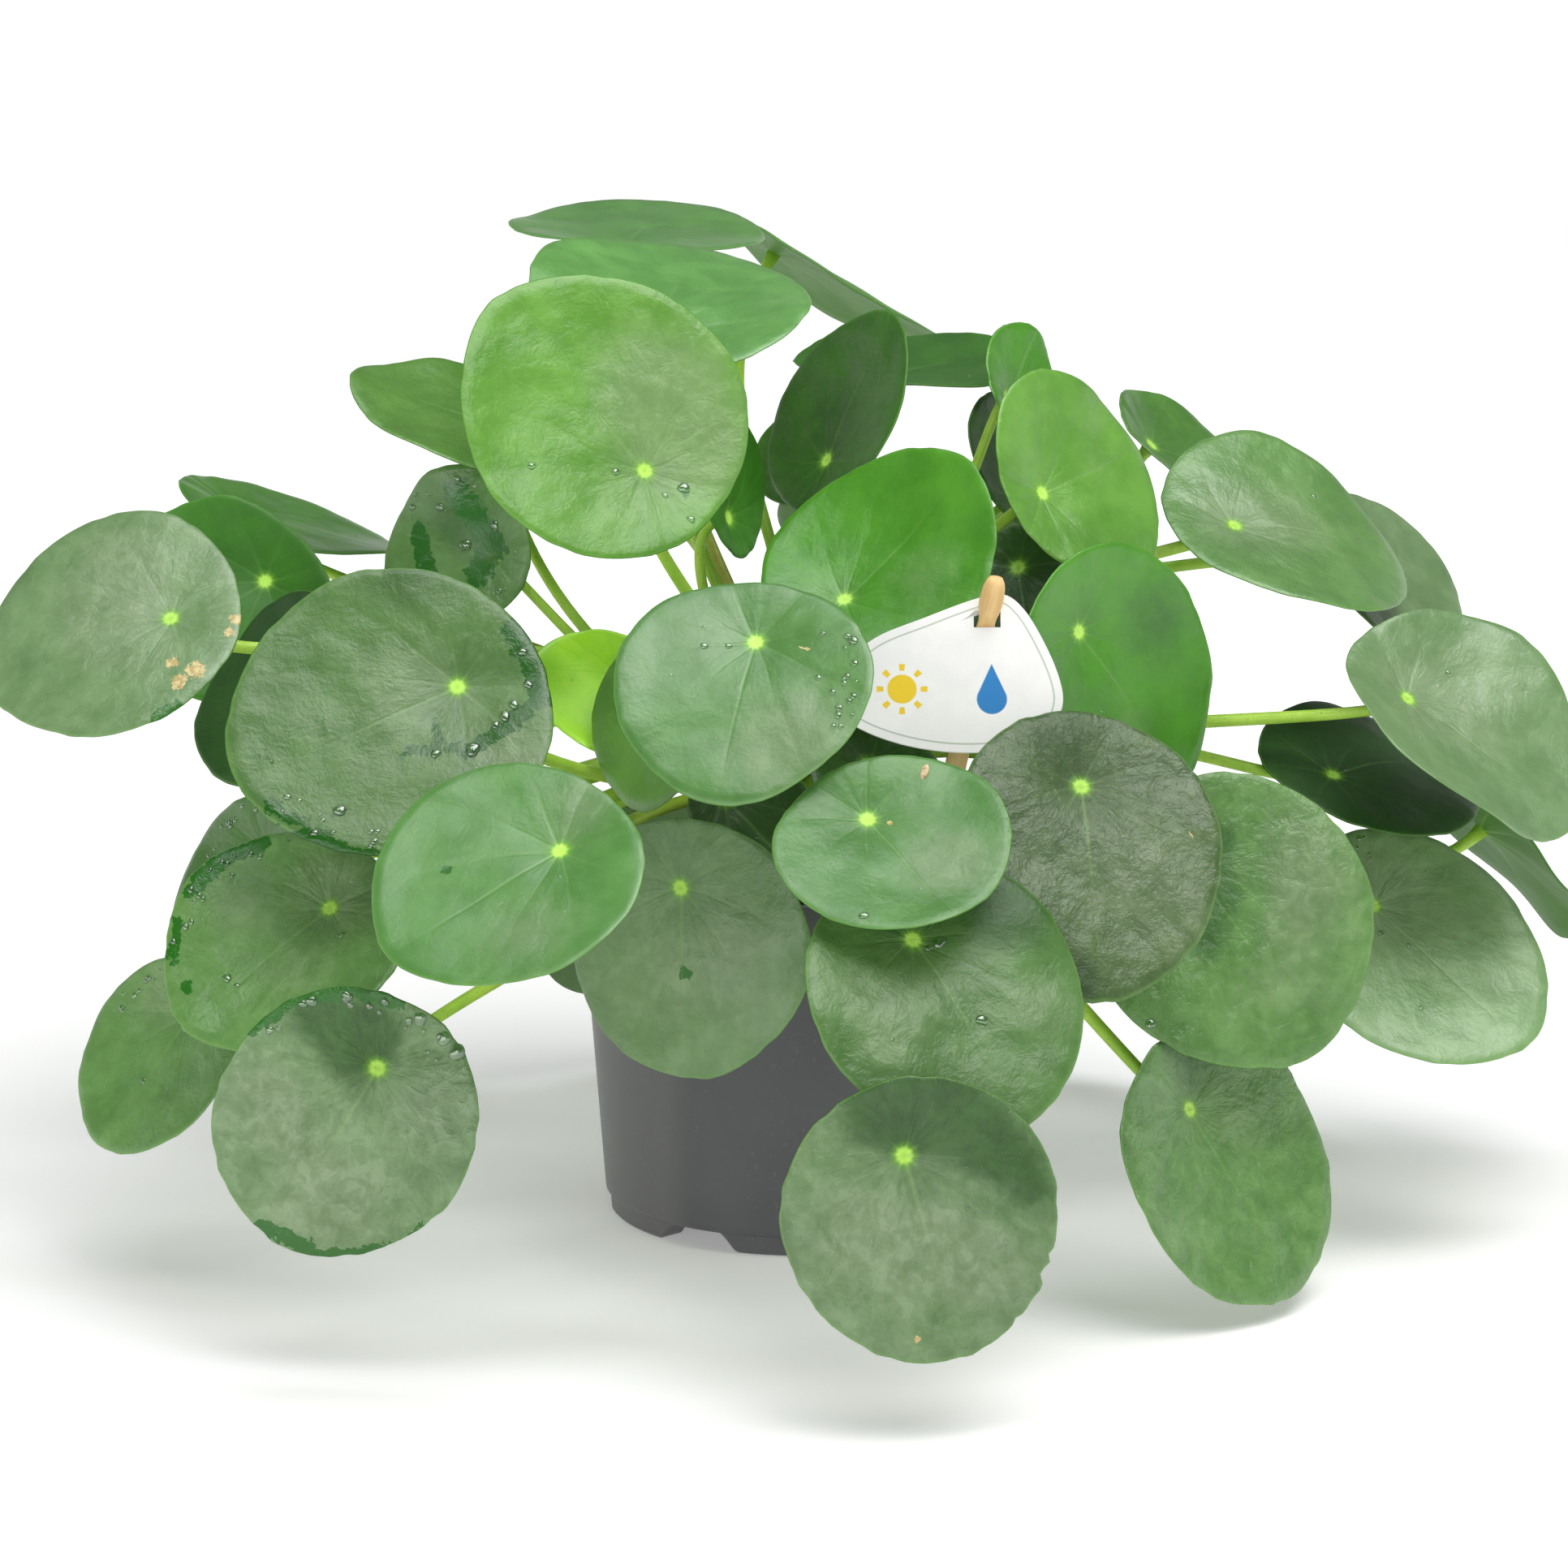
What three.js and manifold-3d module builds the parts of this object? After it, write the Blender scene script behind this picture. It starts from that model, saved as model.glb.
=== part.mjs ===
/*
 * Potted Chinese money plant (Pilea peperomioides) in a round nursery pot.
 *
 * A grey plastic pot stands on six feet and is filled with potting soil. A short brown trunk rises from the
 * soil and carries long leaf stalks, each with one round, shield-shaped leaf held near its upper edge. A
 * blank teardrop plant tag hangs on a wooden stick in the soil.
 *
 * Millimetres, +Z up, the pot's feet stand on z = 0. The front of the plant faces -Y.
 */
import * as THREE from "three";
import { mergeVertices } from "three/addons/utils/BufferGeometryUtils.js";
import Module from "manifold-3d";

const wasm = await Module();
wasm.setup();

// ---------------------------------------------------------------- driving dimensions

const GAP = 0.3; // clearance between pieces that touch

const POT = {
  height: 94, // ground to rim
  bodyBottom: 5, // height of the wall's lower edge above the feet
  bottomRadius: 53.5,
  topRadius: 59.5, // just under the rim band
  rimRadius: 61.5,
  rimHeight: 9,
  rimWall: 1.6, // thickness of the rim band
  rimTaper: 3, // the band's inside slopes in over this height
  rimBevel: 1, // its top edge
  wall: 1.4,
  floor: 2,
  footRadius: 52.3, // the foot ring stands back under the wall's edge
  footRingWidth: 8,
  feet: 6,
  footGapTop: 14, // width of the gap between two feet at the wall's edge
  footGapBottom: 22, // the feet's ends slope, so the gap is wider at the ground
  firstGapAngle: 57, // degrees from +X
  drainRadius: 4,
  drainCircle: 30,
  drainSides: 12,
  segments: 40,
};

const SOIL = {
  top: 85,
  relief: 1.6, // height of its lumps
  bevel: [1, 3], // width and height of its outer edge
  rings: 5,
  sectors: 30,
};

const TRUNK = {
  radius: 7.5,
  root: 62, // its foot in the soil
  top: 134,
  lean: 3, // sideways bow
  sides: 10,
  steps: 5,
};

const STALK = {
  radius: 1.9,
  sides: 5,
  steps: 6,
  seat: 3, // how far from the trunk's axis a stalk starts
  lowest: 104, // lowest stalk's height on the trunk
  climb: 0.13, // a higher leaf's stalk starts this much higher for each mm of its leaf's height
  climbAbove: 40, // counted from here
  startShare: 0.36, // length of the curve's first handle, as a share of its span
  archBelow: 80, // the stalk of a leaf lower than this arches higher, to clear the rim
  archShare: 0.45,
};

const BLADE = {
  thickness: 0.9,
  sectors: 20,
  rings: [0.55, 1], // shares of the way from the hub to the rim
  hub: 0.46, // the stalk meets the blade this far above its middle, as a share of half its length
  egg: 0.05, // the blade is a little wider above its middle than below
  point: 0.05, // the blunt tip
  dimple: 2, // depth of the hollow over the stalk
  dimpleWidth: 0.3,
};

const TAG = {
  thickness: 0.8,
  slot: [44.6, -68, 167], // centre of the slot that the stick passes through
  slotSize: [7.4, 5.4],
  lean: 18, // degrees that the card leans back
  edges: 36,
  // a rounded teardrop round the slot, hanging down to its left
  outline: [
    [-3, 5], [4, 6.2], [9, 2.5], [13.8, -5.5], [17.5, -14.5], [18.3, -21.5], [15, -28], [8, -32],
    [-6, -33.3], [-20, -31.5], [-32, -27], [-37.5, -21], [-36, -13], [-28, -5], [-15, 0.5],
  ],
};

const STICK = {
  size: [5.4, 2], // width and thickness
  point: [2, 6], // its lower end narrows to a point from 6 above the foot to 2 below it
  neckDepth: 0.5,
  neckSpan: [20, 13, 8, 4], // down from the head: the neck's start, narrowest place and end; the bulge's top
  bulge: 0.2, // the head's extra half width
  round: 1, // its corners
  foot: [27.2, -21.6, 64], // in the soil
  head: [46.5, -73, 178],
};

/*
 * One row for each leaf: the blade's hub x, y, z; the compass heading and the lift of the way that it faces,
 * and how far its tip is turned from straight downhill, in degrees; its length and width; how far its two
 * ends and its two sides rise above its middle; the height of its rim's waves; the elevation and the
 * sideways swing, in degrees, that its stalk starts with, and how far its stalk runs square to the blade
 * before it bends, as a percentage of its span.
 */
const LEAVES = [
  // round the crown, and upper right
  [-40, -50, 202, 291, 23, -144, 74, 74, 2, 4, 0.6, 50, -10, 30],
  [-39, 0, 234, 286, 65, 154, 72, 74, -2, 5, 0.3, 60, 0, 30],
  [-50, 69, 255, 285, 80, 152, 68, 72, 3, 1, 0.3, 40, 0, 14],
  [-8, 127, 252, 18, 58, -18, 73, 68, 1, -4, 0.7, 50, 0, 30],
  [6, 9, 200, 214, 24, 168, 56, 54, 2, 3, 0.1, 40, 0, 30],
  [17, 48, 219, 271, 79, 120, 65, 63, 3, 3, 1, 40, 0, 30],
  [54, 14, 216, 322, 23, 132, 34, 26, 2, 1, 0, 30, 0, 8],
  [61, -22, 194, 314, 26, 102, 55, 59, 0, 4, 0.3, 70, 0, 14],
  [96, 50, 201, 329, 49, 51, 49, 49, 3, 3, 0.6, 20, 0, 30],
  // right side
  [114, 6, 183, 307, 52, 70, 71, 69, -5, 4, 0.3, 80, 0, 8],
  [149, 37, 176, 321, 41, 1, 58, 60, 0, 3, 0.1, 80, 0, 8],
  [156, -24, 141, 309, 44, 31, 71, 73, 1, 11, 1.1, 20, 0, 8],
  [139, -12, 119, 312, 61, 85, 65, 57, -5, -1, 0.9, 60, 0, 8],
  [186, 25, 98, 15, 42, 25, 63, 64, 0, 1, 1.7, 40, 0, 30],
  [148, -27, 87, 288, 42, 30, 71, 68, 3, 0, 0, 40, 0, 30],
  [95, -76, 107, 279, 19, 32, 73, 72, -2, 1, 1, 40, 0, 30],
  [65, -108, 132, 282, 33, -4, 72, 64, -2, 1, 0.1, -10, 0, 22],
  [94, -91, 49, 314, 25, 14, 70, 72, 3, 3, 0.6, 40, -40, 8],
  // front
  [69, -45, 161, 311, 10, 35, 67, 67, 2, 4, 0.3, 40, 0, 30],
  [10, -43, 169, 244, 39, 146, 61, 63, 8, 1, 0, 40, 0, 30],
  [-12, -105, 166, 261, 39, -6, 59, 61, -1, 3, 0, 40, 0, 30],
  [-30, -57, 156, 216, 23, 15, 54, 57, 1, 2, 1.1, 40, 0, 30],
  [14, -130, 128, 271, 51, 30, 50, 56, 3, 3, 0.6, 10, 0, 30],
  [-30, -105, 107, 244, 2, 6, 62, 65, 0, -3, 1, -10, 0, 30],
  [24, -146, 103, 288, 34, 20, 66, 66, -2, 0, 1, 40, 0, 30],
  [21, -185, 63, 277, 10, 14, 62, 61, 0, -1, 0.8, 30, 0, 30],
  // left side
  [-56, -148, 124, 254, 49, -41, 61, 65, 2, 4, 0, 0, -50, 8],
  [-84, -88, 153, 275, 33, -63, 77, 74, 1, 3, 0.8, -10, 0, 30],
  [-159, -50, 165, 255, 41, -75, 65, 68, -4, 1, 0.2, 60, 0, 22],
  [-147, 34, 165, 274, 28, -53, 55, 63, 3, 3, 1.3, 40, 0, 30],
  [-162, 88, 180, 339, 71, 8, 63, 59, 3, 0, 0.6, 20, 0, 8],
  [-83, 10, 174, 244, 14, -100, 43, 46, 0, 1, 2, -10, 0, 14],
  [-80, 39, 205, 303, 63, -127, 60, 56, 2, 1, 0.9, -10, 0, 30],
  [-130, -8, 151, 232, 33, -8, 54, 56, 3, 1, 1.9, 40, 0, 30],
  [-138, -42, 104, 221, 27, 4, 53, 58, 3, 1, 0.6, 40, 0, 30],
  [-115, -95, 100, 256, 43, -35, 60, 61, 0, 4, 0.8, 40, 0, 30],
  [-154, -66, 67, 229, 32, -11, 52, 55, 2, 2, 0.2, 40, 0, 30],
  [-98, -150, 74, 268, -2, -31, 65, 59, -1, 3, 0.7, -10, 0, 22],
  // smaller ones among the rest
  [-48, -24, 147, 289, 39, -23, 36, 45, 3, 3, 0.7, 40, 0, 30],
  [-20, -5, 186, 334, 7, 177, 39, 32, 2, 2, 0.6, 40, 0, 30],
  [0, 33, 192, 240, 30, 170, 32, 32, 3, 3, 0.5, 40, 0, 30],
  [57, 30, 188, 320, 30, 150, 44, 40, 3, 3, 0.5, 40, 0, 30],
  [56, -6, 173, 250, 35, 20, 40, 40, 2, 2, 1, 40, 0, 30],
  [-20, -76, 124, 290, 10, 40, 34, 30, 2, 8, 0.5, 40, 0, 30],
  [16, -50, 128, 285, 55, 0, 46, 34, 2, 2, 1, 40, 0, 30],
  // back
  [-140, 55, 98, 155, 22, 5, 62, 60, 2, 2, 1, 40, 0, 30],
  [-100, 100, 128, 132, 35, 10, 66, 64, 2, -3, 1, 40, 0, 30],
  [-54, 128, 72, 118, 15, -10, 68, 66, 2, -3, 1, 40, 0, 30],
  [0, 125, 125, 92, 32, 12, 68, 66, 2, 2, 1, 40, 0, 30],
  [22, 150, 66, 82, 12, 5, 64, 62, 2, -3, 1, 40, 0, 30],
  [88, 108, 84, 50, 22, -8, 70, 68, 2, -3, 1, 40, 0, 30],
  [130, 62, 74, 25, 20, 6, 64, 62, 2, 2, 1, 40, 0, 30],
  [-45, 80, 198, 110, 50, 5, 58, 56, 2, 2, 1, 70, 0, 30],
  [22, 100, 180, 80, 45, 5, 62, 60, 2, 2, 1, 40, 0, 30],
  [70, 72, 168, 45, 40, -5, 60, 58, 2, 2, 1, 40, 0, 22],
];

const LEAF_COLOUR = 0x4f8a3c;
const LEAF_SHADES = 6; // neighbouring leaves differ a little in lightness

// The crown of young leaves that stand on top of the trunk: heading, lean from upright, and length.
const YOUNG_LEAVES = [[20, 25, 17], [140, 30, 20], [255, 20, 15], [320, 45, 23], [80, 50, 24]];
const YOUNG = {
  stalk: 16, // from the trunk's top to the blade
  seat: 6, // how deep the stalk starts in the trunk
  slimness: 0.7, // width over length
  rise: [2, 4], // of a blade's ends and of its sides
  sectors: 10,
};

// ---------------------------------------------------------------- solids

function toSolid(geometry) {
  geometry.deleteAttribute("normal");
  geometry.deleteAttribute("uv");
  const merged = mergeVertices(geometry, 1e-3);
  const corners = merged.index.array;
  const kept = [];
  for (let i = 0; i < corners.length; i += 3) {
    const [a, b, c] = corners.slice(i, i + 3);
    if (a !== b && b !== c && c !== a) kept.push(a, b, c);
  }
  return new wasm.Manifold(new wasm.Mesh({
    numProp: 3,
    vertProperties: new Float32Array(merged.attributes.position.array),
    triVerts: new Uint32Array(kept),
  }));
}

function toGeometry(solid) {
  const { vertProperties, triVerts } = solid.getMesh();
  const geometry = new THREE.BufferGeometry();
  geometry.setAttribute("position", new THREE.BufferAttribute(vertProperties, 3));
  geometry.setIndex(new THREE.BufferAttribute(triVerts, 1));
  return geometry;
}

function turned(profile, segments) {
  const points = profile.map(([radius, height]) => new THREE.Vector2(radius, height));
  return new THREE.LatheGeometry(points, segments).rotateX(Math.PI / 2);
}

function polygon(radius, sides) {
  const corners = [];
  for (let i = 0; i < sides; i += 1) {
    const angle = (2 * Math.PI * i) / sides;
    corners.push(new THREE.Vector2(radius * Math.cos(angle), radius * Math.sin(angle)));
  }
  return new THREE.Shape(corners);
}

function swept(shape, path, steps) {
  return new THREE.ExtrudeGeometry(shape, { steps, extrudePath: path, bevelEnabled: false });
}

function radians(degrees) {
  return THREE.MathUtils.degToRad(degrees);
}

// A unit vector from a compass heading, counted from +X, and an elevation.
function direction(heading, elevation) {
  const level = Math.cos(radians(elevation));
  return new THREE.Vector3(
    level * Math.cos(radians(heading)),
    level * Math.sin(radians(heading)),
    Math.sin(radians(elevation)),
  );
}

// ---------------------------------------------------------------- pot and soil

function potInnerRadius(z) {
  const share = (z - POT.bodyBottom) / (POT.height - POT.rimHeight - POT.bodyBottom);
  return POT.bottomRadius - POT.wall + share * (POT.topRadius - POT.bottomRadius);
}

function buildPot() {
  const floorTop = POT.bodyBottom + POT.floor;
  const rimBottom = POT.height - POT.rimHeight;
  const profile = [
    [0, floorTop],
    [potInnerRadius(floorTop), floorTop],
    [potInnerRadius(rimBottom), rimBottom],
    [POT.rimRadius - POT.rimWall, rimBottom + POT.rimTaper],
    [POT.rimRadius - POT.rimWall, POT.height - POT.rimBevel / 2],
    [POT.rimRadius - POT.rimBevel, POT.height],
    [POT.rimRadius, POT.height - POT.rimBevel],
    [POT.rimRadius, rimBottom],
    [POT.topRadius, rimBottom],
    [POT.bottomRadius, POT.bodyBottom],
    [POT.footRadius, POT.bodyBottom],
    [POT.footRadius, 0],
    [POT.footRadius - POT.footRingWidth, 0],
    [POT.footRadius - POT.footRingWidth, POT.bodyBottom],
    [0, POT.bodyBottom],
  ];
  let pot = toSolid(turned(profile.reverse(), POT.segments));
  for (let i = 0; i < POT.feet; i += 1) {
    const angle = POT.firstGapAngle + (360 / POT.feet) * i;
    pot = pot.subtract(footGap(angle));
    pot = pot.subtract(drainHole(angle + 180 / POT.feet));
  }
  return toGeometry(pot);
}

// The wedge that parts two feet: a trapezoid, wider at the ground, cut through the foot ring.
function footGap(angle) {
  const top = POT.footGapTop / 2;
  const bottom = POT.footGapBottom / 2;
  const below = -1;
  const shape = new THREE.Shape([
    new THREE.Vector2(-bottom, below),
    new THREE.Vector2(bottom, below),
    new THREE.Vector2(top, POT.bodyBottom),
    new THREE.Vector2(-top, POT.bodyBottom),
  ]);
  const margin = 3;
  const depth = POT.footRingWidth + 2 * margin;
  const wedge = new THREE.ExtrudeGeometry(shape, { depth, bevelEnabled: false });
  const out = direction(angle, 0);
  const up = new THREE.Vector3(0, 0, 1);
  const along = new THREE.Vector3().crossVectors(up, out);
  const start = out.clone().multiplyScalar(POT.footRadius - POT.footRingWidth - margin);
  wedge.applyMatrix4(new THREE.Matrix4().makeBasis(along, up, out).setPosition(start));
  return toSolid(wedge);
}

function drainHole(angle) {
  const depth = 4 * POT.floor; // right through the floor
  const hole = new THREE.CylinderGeometry(POT.drainRadius, POT.drainRadius, depth, POT.drainSides);
  const place = direction(angle, 0).multiplyScalar(POT.drainCircle);
  hole.rotateX(Math.PI / 2).translate(place.x, place.y, POT.bodyBottom);
  return toSolid(hole);
}

// Height of the soil's surface over its mean level: broad swells crossed by finer ones.
function soilRelief(x, y) {
  const broad = Math.sin(0.11 * x + 1) * Math.sin(0.13 * y + 2);
  const fine = Math.sin(0.37 * x + 0.21 * y) * Math.cos(0.33 * y - 0.17 * x + 1);
  return SOIL.relief * (0.6 * broad + 0.6 * fine);
}

function buildSoil() {
  const bottom = POT.bodyBottom + POT.floor + GAP;
  const [bevelWidth, bevelHeight] = SOIL.bevel;
  const flatRadius = potInnerRadius(SOIL.top) - GAP - bevelWidth;
  const edge = SOIL.top - bevelHeight;
  const profile = [[0, SOIL.top]];
  for (let i = 1; i <= SOIL.rings; i += 1) profile.push([(flatRadius * i) / SOIL.rings, SOIL.top]);
  profile.push([potInnerRadius(edge) - GAP, edge]);
  profile.push([potInnerRadius(bottom) - GAP, bottom], [0, bottom]);
  const soil = turned(profile.reverse(), SOIL.sectors);
  const place = soil.attributes.position;
  for (let i = 0; i < place.count; i += 1) {
    if (place.getZ(i) > edge) {
      place.setZ(i, place.getZ(i) + soilRelief(place.getX(i), place.getY(i)));
    }
  }
  let solid = toSolid(soil);
  const trunkHole = swept(polygon(TRUNK.radius + GAP, TRUNK.sides), trunkPath(GAP), TRUNK.steps);
  solid = solid.subtract(toSolid(trunkHole));
  solid = solid.subtract(toSolid(stickBody(GAP)));
  return toGeometry(solid);
}

// ---------------------------------------------------------------- trunk, stalks and blades

// The trunk's centre line; the hole that it stands in reaches a little deeper.
function trunkPath(extra) {
  const root = new THREE.Vector3(0, 0, TRUNK.root - extra);
  const middle = new THREE.Vector3(TRUNK.lean, -TRUNK.lean / 2, (TRUNK.root + TRUNK.top) / 2);
  const top = new THREE.Vector3(0, 0, TRUNK.top);
  return new THREE.QuadraticBezierCurve3(root, middle, top);
}

function trunkPoint(z) {
  return trunkPath(0).getPoint((z - TRUNK.root) / (TRUNK.top - TRUNK.root));
}

function leafAxes([, , , heading, lift, roll]) {
  const normal = direction(heading, lift);
  const downhill = direction(heading, lift - 90);
  const tip = downhill.clone().applyAxisAngle(normal, radians(roll));
  const across = new THREE.Vector3().crossVectors(normal, tip);
  return { normal, tip, across };
}

// Height of a blade over its flat plane, at (along, side) measured in half lengths and half widths.
function bladeHeight(row, index, along, side) {
  const [, , , , , , , , ends, sides, wave] = row;
  const reach = Math.hypot(along, side);
  const phase = radians(137.5 * index);
  const ripple = wave * reach ** 3 * Math.sin((3 + (index % 3)) * Math.atan2(side, along) + phase);
  const fromHub = Math.hypot(along + BLADE.hub, side) / BLADE.dimpleWidth;
  return ends * along ** 2 + sides * side ** 2 + ripple - BLADE.dimple * Math.exp(-(fromHub ** 2));
}

// A point of the blade's upper face: angle round its outline, and share of the way from hub to rim.
function bladePoint(row, index, axes, angle, share) {
  const [x, y, z, , , , length, width] = row;
  const tipward = Math.max(0, Math.cos(angle));
  const rimAlong = Math.cos(angle) + BLADE.point * tipward ** 9;
  const rimSide = Math.sin(angle) * (1 - BLADE.egg * Math.cos(angle));
  const along = share * (rimAlong + BLADE.hub) - BLADE.hub;
  const side = share * rimSide;
  const height = bladeHeight(row, index, along, side) - bladeHeight(row, index, -BLADE.hub, 0);
  return new THREE.Vector3(x, y, z)
    .addScaledVector(axes.tip, ((along + BLADE.hub) * length) / 2)
    .addScaledVector(axes.across, (side * width) / 2)
    .addScaledVector(axes.normal, height);
}

// A closed blade: its upper face in two rings round the hub, the same face lowered, and its rim.
function buildBlade(row, index, sectors = BLADE.sectors, shares = BLADE.rings) {
  const axes = leafAxes(row);
  const upper = [bladePoint(row, index, axes, 0, 0)];
  for (const share of shares) {
    for (let i = 0; i < sectors; i += 1) {
      upper.push(bladePoint(row, index, axes, (2 * Math.PI * i) / sectors, share));
    }
  }
  const drop = axes.normal.clone().multiplyScalar(-BLADE.thickness);
  const lower = upper.map((point) => point.clone().add(drop));
  const faces = [];
  for (let i = 0; i < sectors; i += 1) {
    const next = (i + 1) % sectors;
    faces.push([0, 1 + i, 1 + next]);
    for (let ring = 1; ring < shares.length; ring += 1) {
      const inner = 1 + (ring - 1) * sectors;
      const outer = inner + sectors;
      faces.push([inner + i, outer + i, outer + next], [inner + i, outer + next, inner + next]);
    }
  }
  const count = upper.length;
  const corners = faces.flat();
  for (const [a, b, c] of faces) corners.push(count + a, count + c, count + b);
  const rim = 1 + (shares.length - 1) * sectors;
  for (let i = 0; i < sectors; i += 1) {
    const a = rim + i;
    const b = rim + ((i + 1) % sectors);
    corners.push(a, count + a, count + b, a, count + b, b);
  }
  const geometry = new THREE.BufferGeometry().setFromPoints([...upper, ...lower]);
  geometry.setIndex(corners);
  return geometry;
}

// A stalk leaves the trunk outward and upward and meets its blade from behind, square to it.
function stalkPath(row) {
  const [x, y, z, , , , , , , , , rise, swing, reach] = row;
  const hub = new THREE.Vector3(x, y, z);
  const { normal } = leafAxes(row);
  const heading = THREE.MathUtils.radToDeg(Math.atan2(y, x)) + swing;
  const seat = trunkPoint(STALK.lowest + STALK.climb * Math.max(0, z - STALK.climbAbove));
  const start = seat.addScaledVector(direction(heading, 0), STALK.seat);
  const end = hub.addScaledVector(normal, -BLADE.thickness - GAP);
  const span = start.distanceTo(end);
  const arch = STALK.startShare + STALK.archShare * Math.max(0, 1 - z / STALK.archBelow);
  return new THREE.CubicBezierCurve3(
    start,
    start.clone().addScaledVector(direction(heading, rise), arch * span),
    end.clone().addScaledVector(normal, (-reach / 100) * span),
    end,
  );
}

function youngLeaf([heading, lean, length], index) {
  const out = direction(heading, 90 - lean);
  const hub = trunkPoint(TRUNK.top).addScaledVector(out, YOUNG.stalk);
  const width = YOUNG.slimness * length;
  const row = [hub.x, hub.y, hub.z, heading + 180, lean, 180, length, width, ...YOUNG.rise, 0];
  const stalk = new THREE.LineCurve3(trunkPoint(TRUNK.top - YOUNG.seat), hub);
  const blade = toSolid(buildBlade(row, index, YOUNG.sectors, [1]));
  return blade.add(toSolid(swept(polygon(STALK.radius / 2, STALK.sides), stalk, 1)));
}

function buildStems() {
  let stems = toSolid(swept(polygon(TRUNK.radius, TRUNK.sides), trunkPath(0), TRUNK.steps));
  const bud = new THREE.SphereGeometry(TRUNK.radius, TRUNK.sides, 6);
  const top = trunkPoint(TRUNK.top);
  stems = stems.add(toSolid(bud.translate(top.x, top.y, top.z)));
  for (const row of LEAVES) {
    stems = stems.add(toSolid(swept(polygon(STALK.radius, STALK.sides), stalkPath(row), STALK.steps)));
  }
  YOUNG_LEAVES.forEach((leaf, index) => {
    stems = stems.add(youngLeaf(leaf, index));
  });
  return toGeometry(stems);
}

// ---------------------------------------------------------------- plant tag

// The stick's outline, foot at the origin, grown by a margin for the hole that it stands in.
function stickBody(margin) {
  const foot = new THREE.Vector3(...STICK.foot);
  const head = new THREE.Vector3(...STICK.head);
  const long = head.distanceTo(foot);
  const wide = STICK.size[0] / 2 + margin;
  const neck = wide - STICK.neckDepth;
  const bulge = wide + STICK.bulge;
  const [below, above] = STICK.point;
  const [neckLow, neckMiddle, neckTop, bulgeTop] = STICK.neckSpan.map((down) => long - down);
  const right = [
    [wide, above],
    [wide, neckLow],
    [neck, neckMiddle],
    [bulge, neckTop],
    [bulge, bulgeTop],
    [wide - STICK.round, long],
  ];
  const left = right.map(([x, y]) => [-x, y]).reverse();
  const outline = [[0, -below - margin], ...right, ...left];
  const shape = new THREE.Shape(outline.map(([x, y]) => new THREE.Vector2(x, y)));
  const depth = STICK.size[1] + 2 * margin;
  const body = new THREE.ExtrudeGeometry(shape, { depth, bevelEnabled: false }).translate(0, 0, -depth / 2);
  const up = head.clone().sub(foot).normalize();
  const front = new THREE.Vector3().crossVectors(new THREE.Vector3(1, 0, 0), up).normalize();
  const side = new THREE.Vector3().crossVectors(up, front);
  return body.applyMatrix4(new THREE.Matrix4().makeBasis(side, up, front).setPosition(foot));
}

function buildCard() {
  const outline = TAG.outline.map(([x, y]) => new THREE.Vector2(x, y));
  const curve = new THREE.SplineCurve([...outline, outline[0]]);
  const shape = new THREE.Shape(curve.getSpacedPoints(TAG.edges).slice(0, -1));
  const [wide, high] = TAG.slotSize;
  shape.holes.push(new THREE.Path([
    new THREE.Vector2(-wide / 2, -high / 2),
    new THREE.Vector2(wide / 2, -high / 2),
    new THREE.Vector2(wide / 2, high / 2),
    new THREE.Vector2(-wide / 2, high / 2),
  ]));
  const card = new THREE.ExtrudeGeometry(shape, { depth: TAG.thickness, bevelEnabled: false });
  card.translate(0, 0, -TAG.thickness / 2);
  return toGeometry(toSolid(card));
}

// ---------------------------------------------------------------- assembly

function piece(name, geometry, colour, roughness) {
  geometry.computeVertexNormals();
  const material = new THREE.MeshStandardMaterial({ color: colour, roughness, metalness: 0 });
  const mesh = new THREE.Mesh(geometry, material);
  mesh.name = name;
  return mesh;
}

const plant = new THREE.Group();
plant.add(piece("pot", buildPot(), 0x55565a, 0.45));
plant.add(piece("soil", buildSoil(), 0x3a2a1e, 0.95));
plant.add(piece("stems", buildStems(), 0x86a640, 0.5));
LEAVES.forEach((row, index) => {
  const shade = new THREE.Color(LEAF_COLOUR).offsetHSL(0, 0, 0.02 * ((index * 5) % LEAF_SHADES) - 0.05);
  const name = `leaf_${String(index + 1).padStart(2, "0")}`;
  plant.add(piece(name, buildBlade(row, index), shade, 0.4));
});
plant.add(piece("tag_stick", toGeometry(toSolid(stickBody(0))), 0xd9a860, 0.7));
const card = piece("tag_card", buildCard(), 0xf4f4f2, 0.5);
card.position.set(...TAG.slot);
card.rotation.x = radians(90 - TAG.lean);
plant.add(card);

// The origin lies on the ground under the middle of the whole plant.
const middle = new THREE.Box3().setFromObject(plant).getCenter(new THREE.Vector3());
plant.position.set(-middle.x, -middle.y, 0);

export default plant;
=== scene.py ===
"""Looks of a potted Chinese money plant (Pilea peperomioides): leaves, stalks, pot, soil and a plain tag.

The tables give millimetres from the middle of the pot's foot, +Z up, with the plant's front facing -Y.
"""

import math

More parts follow.
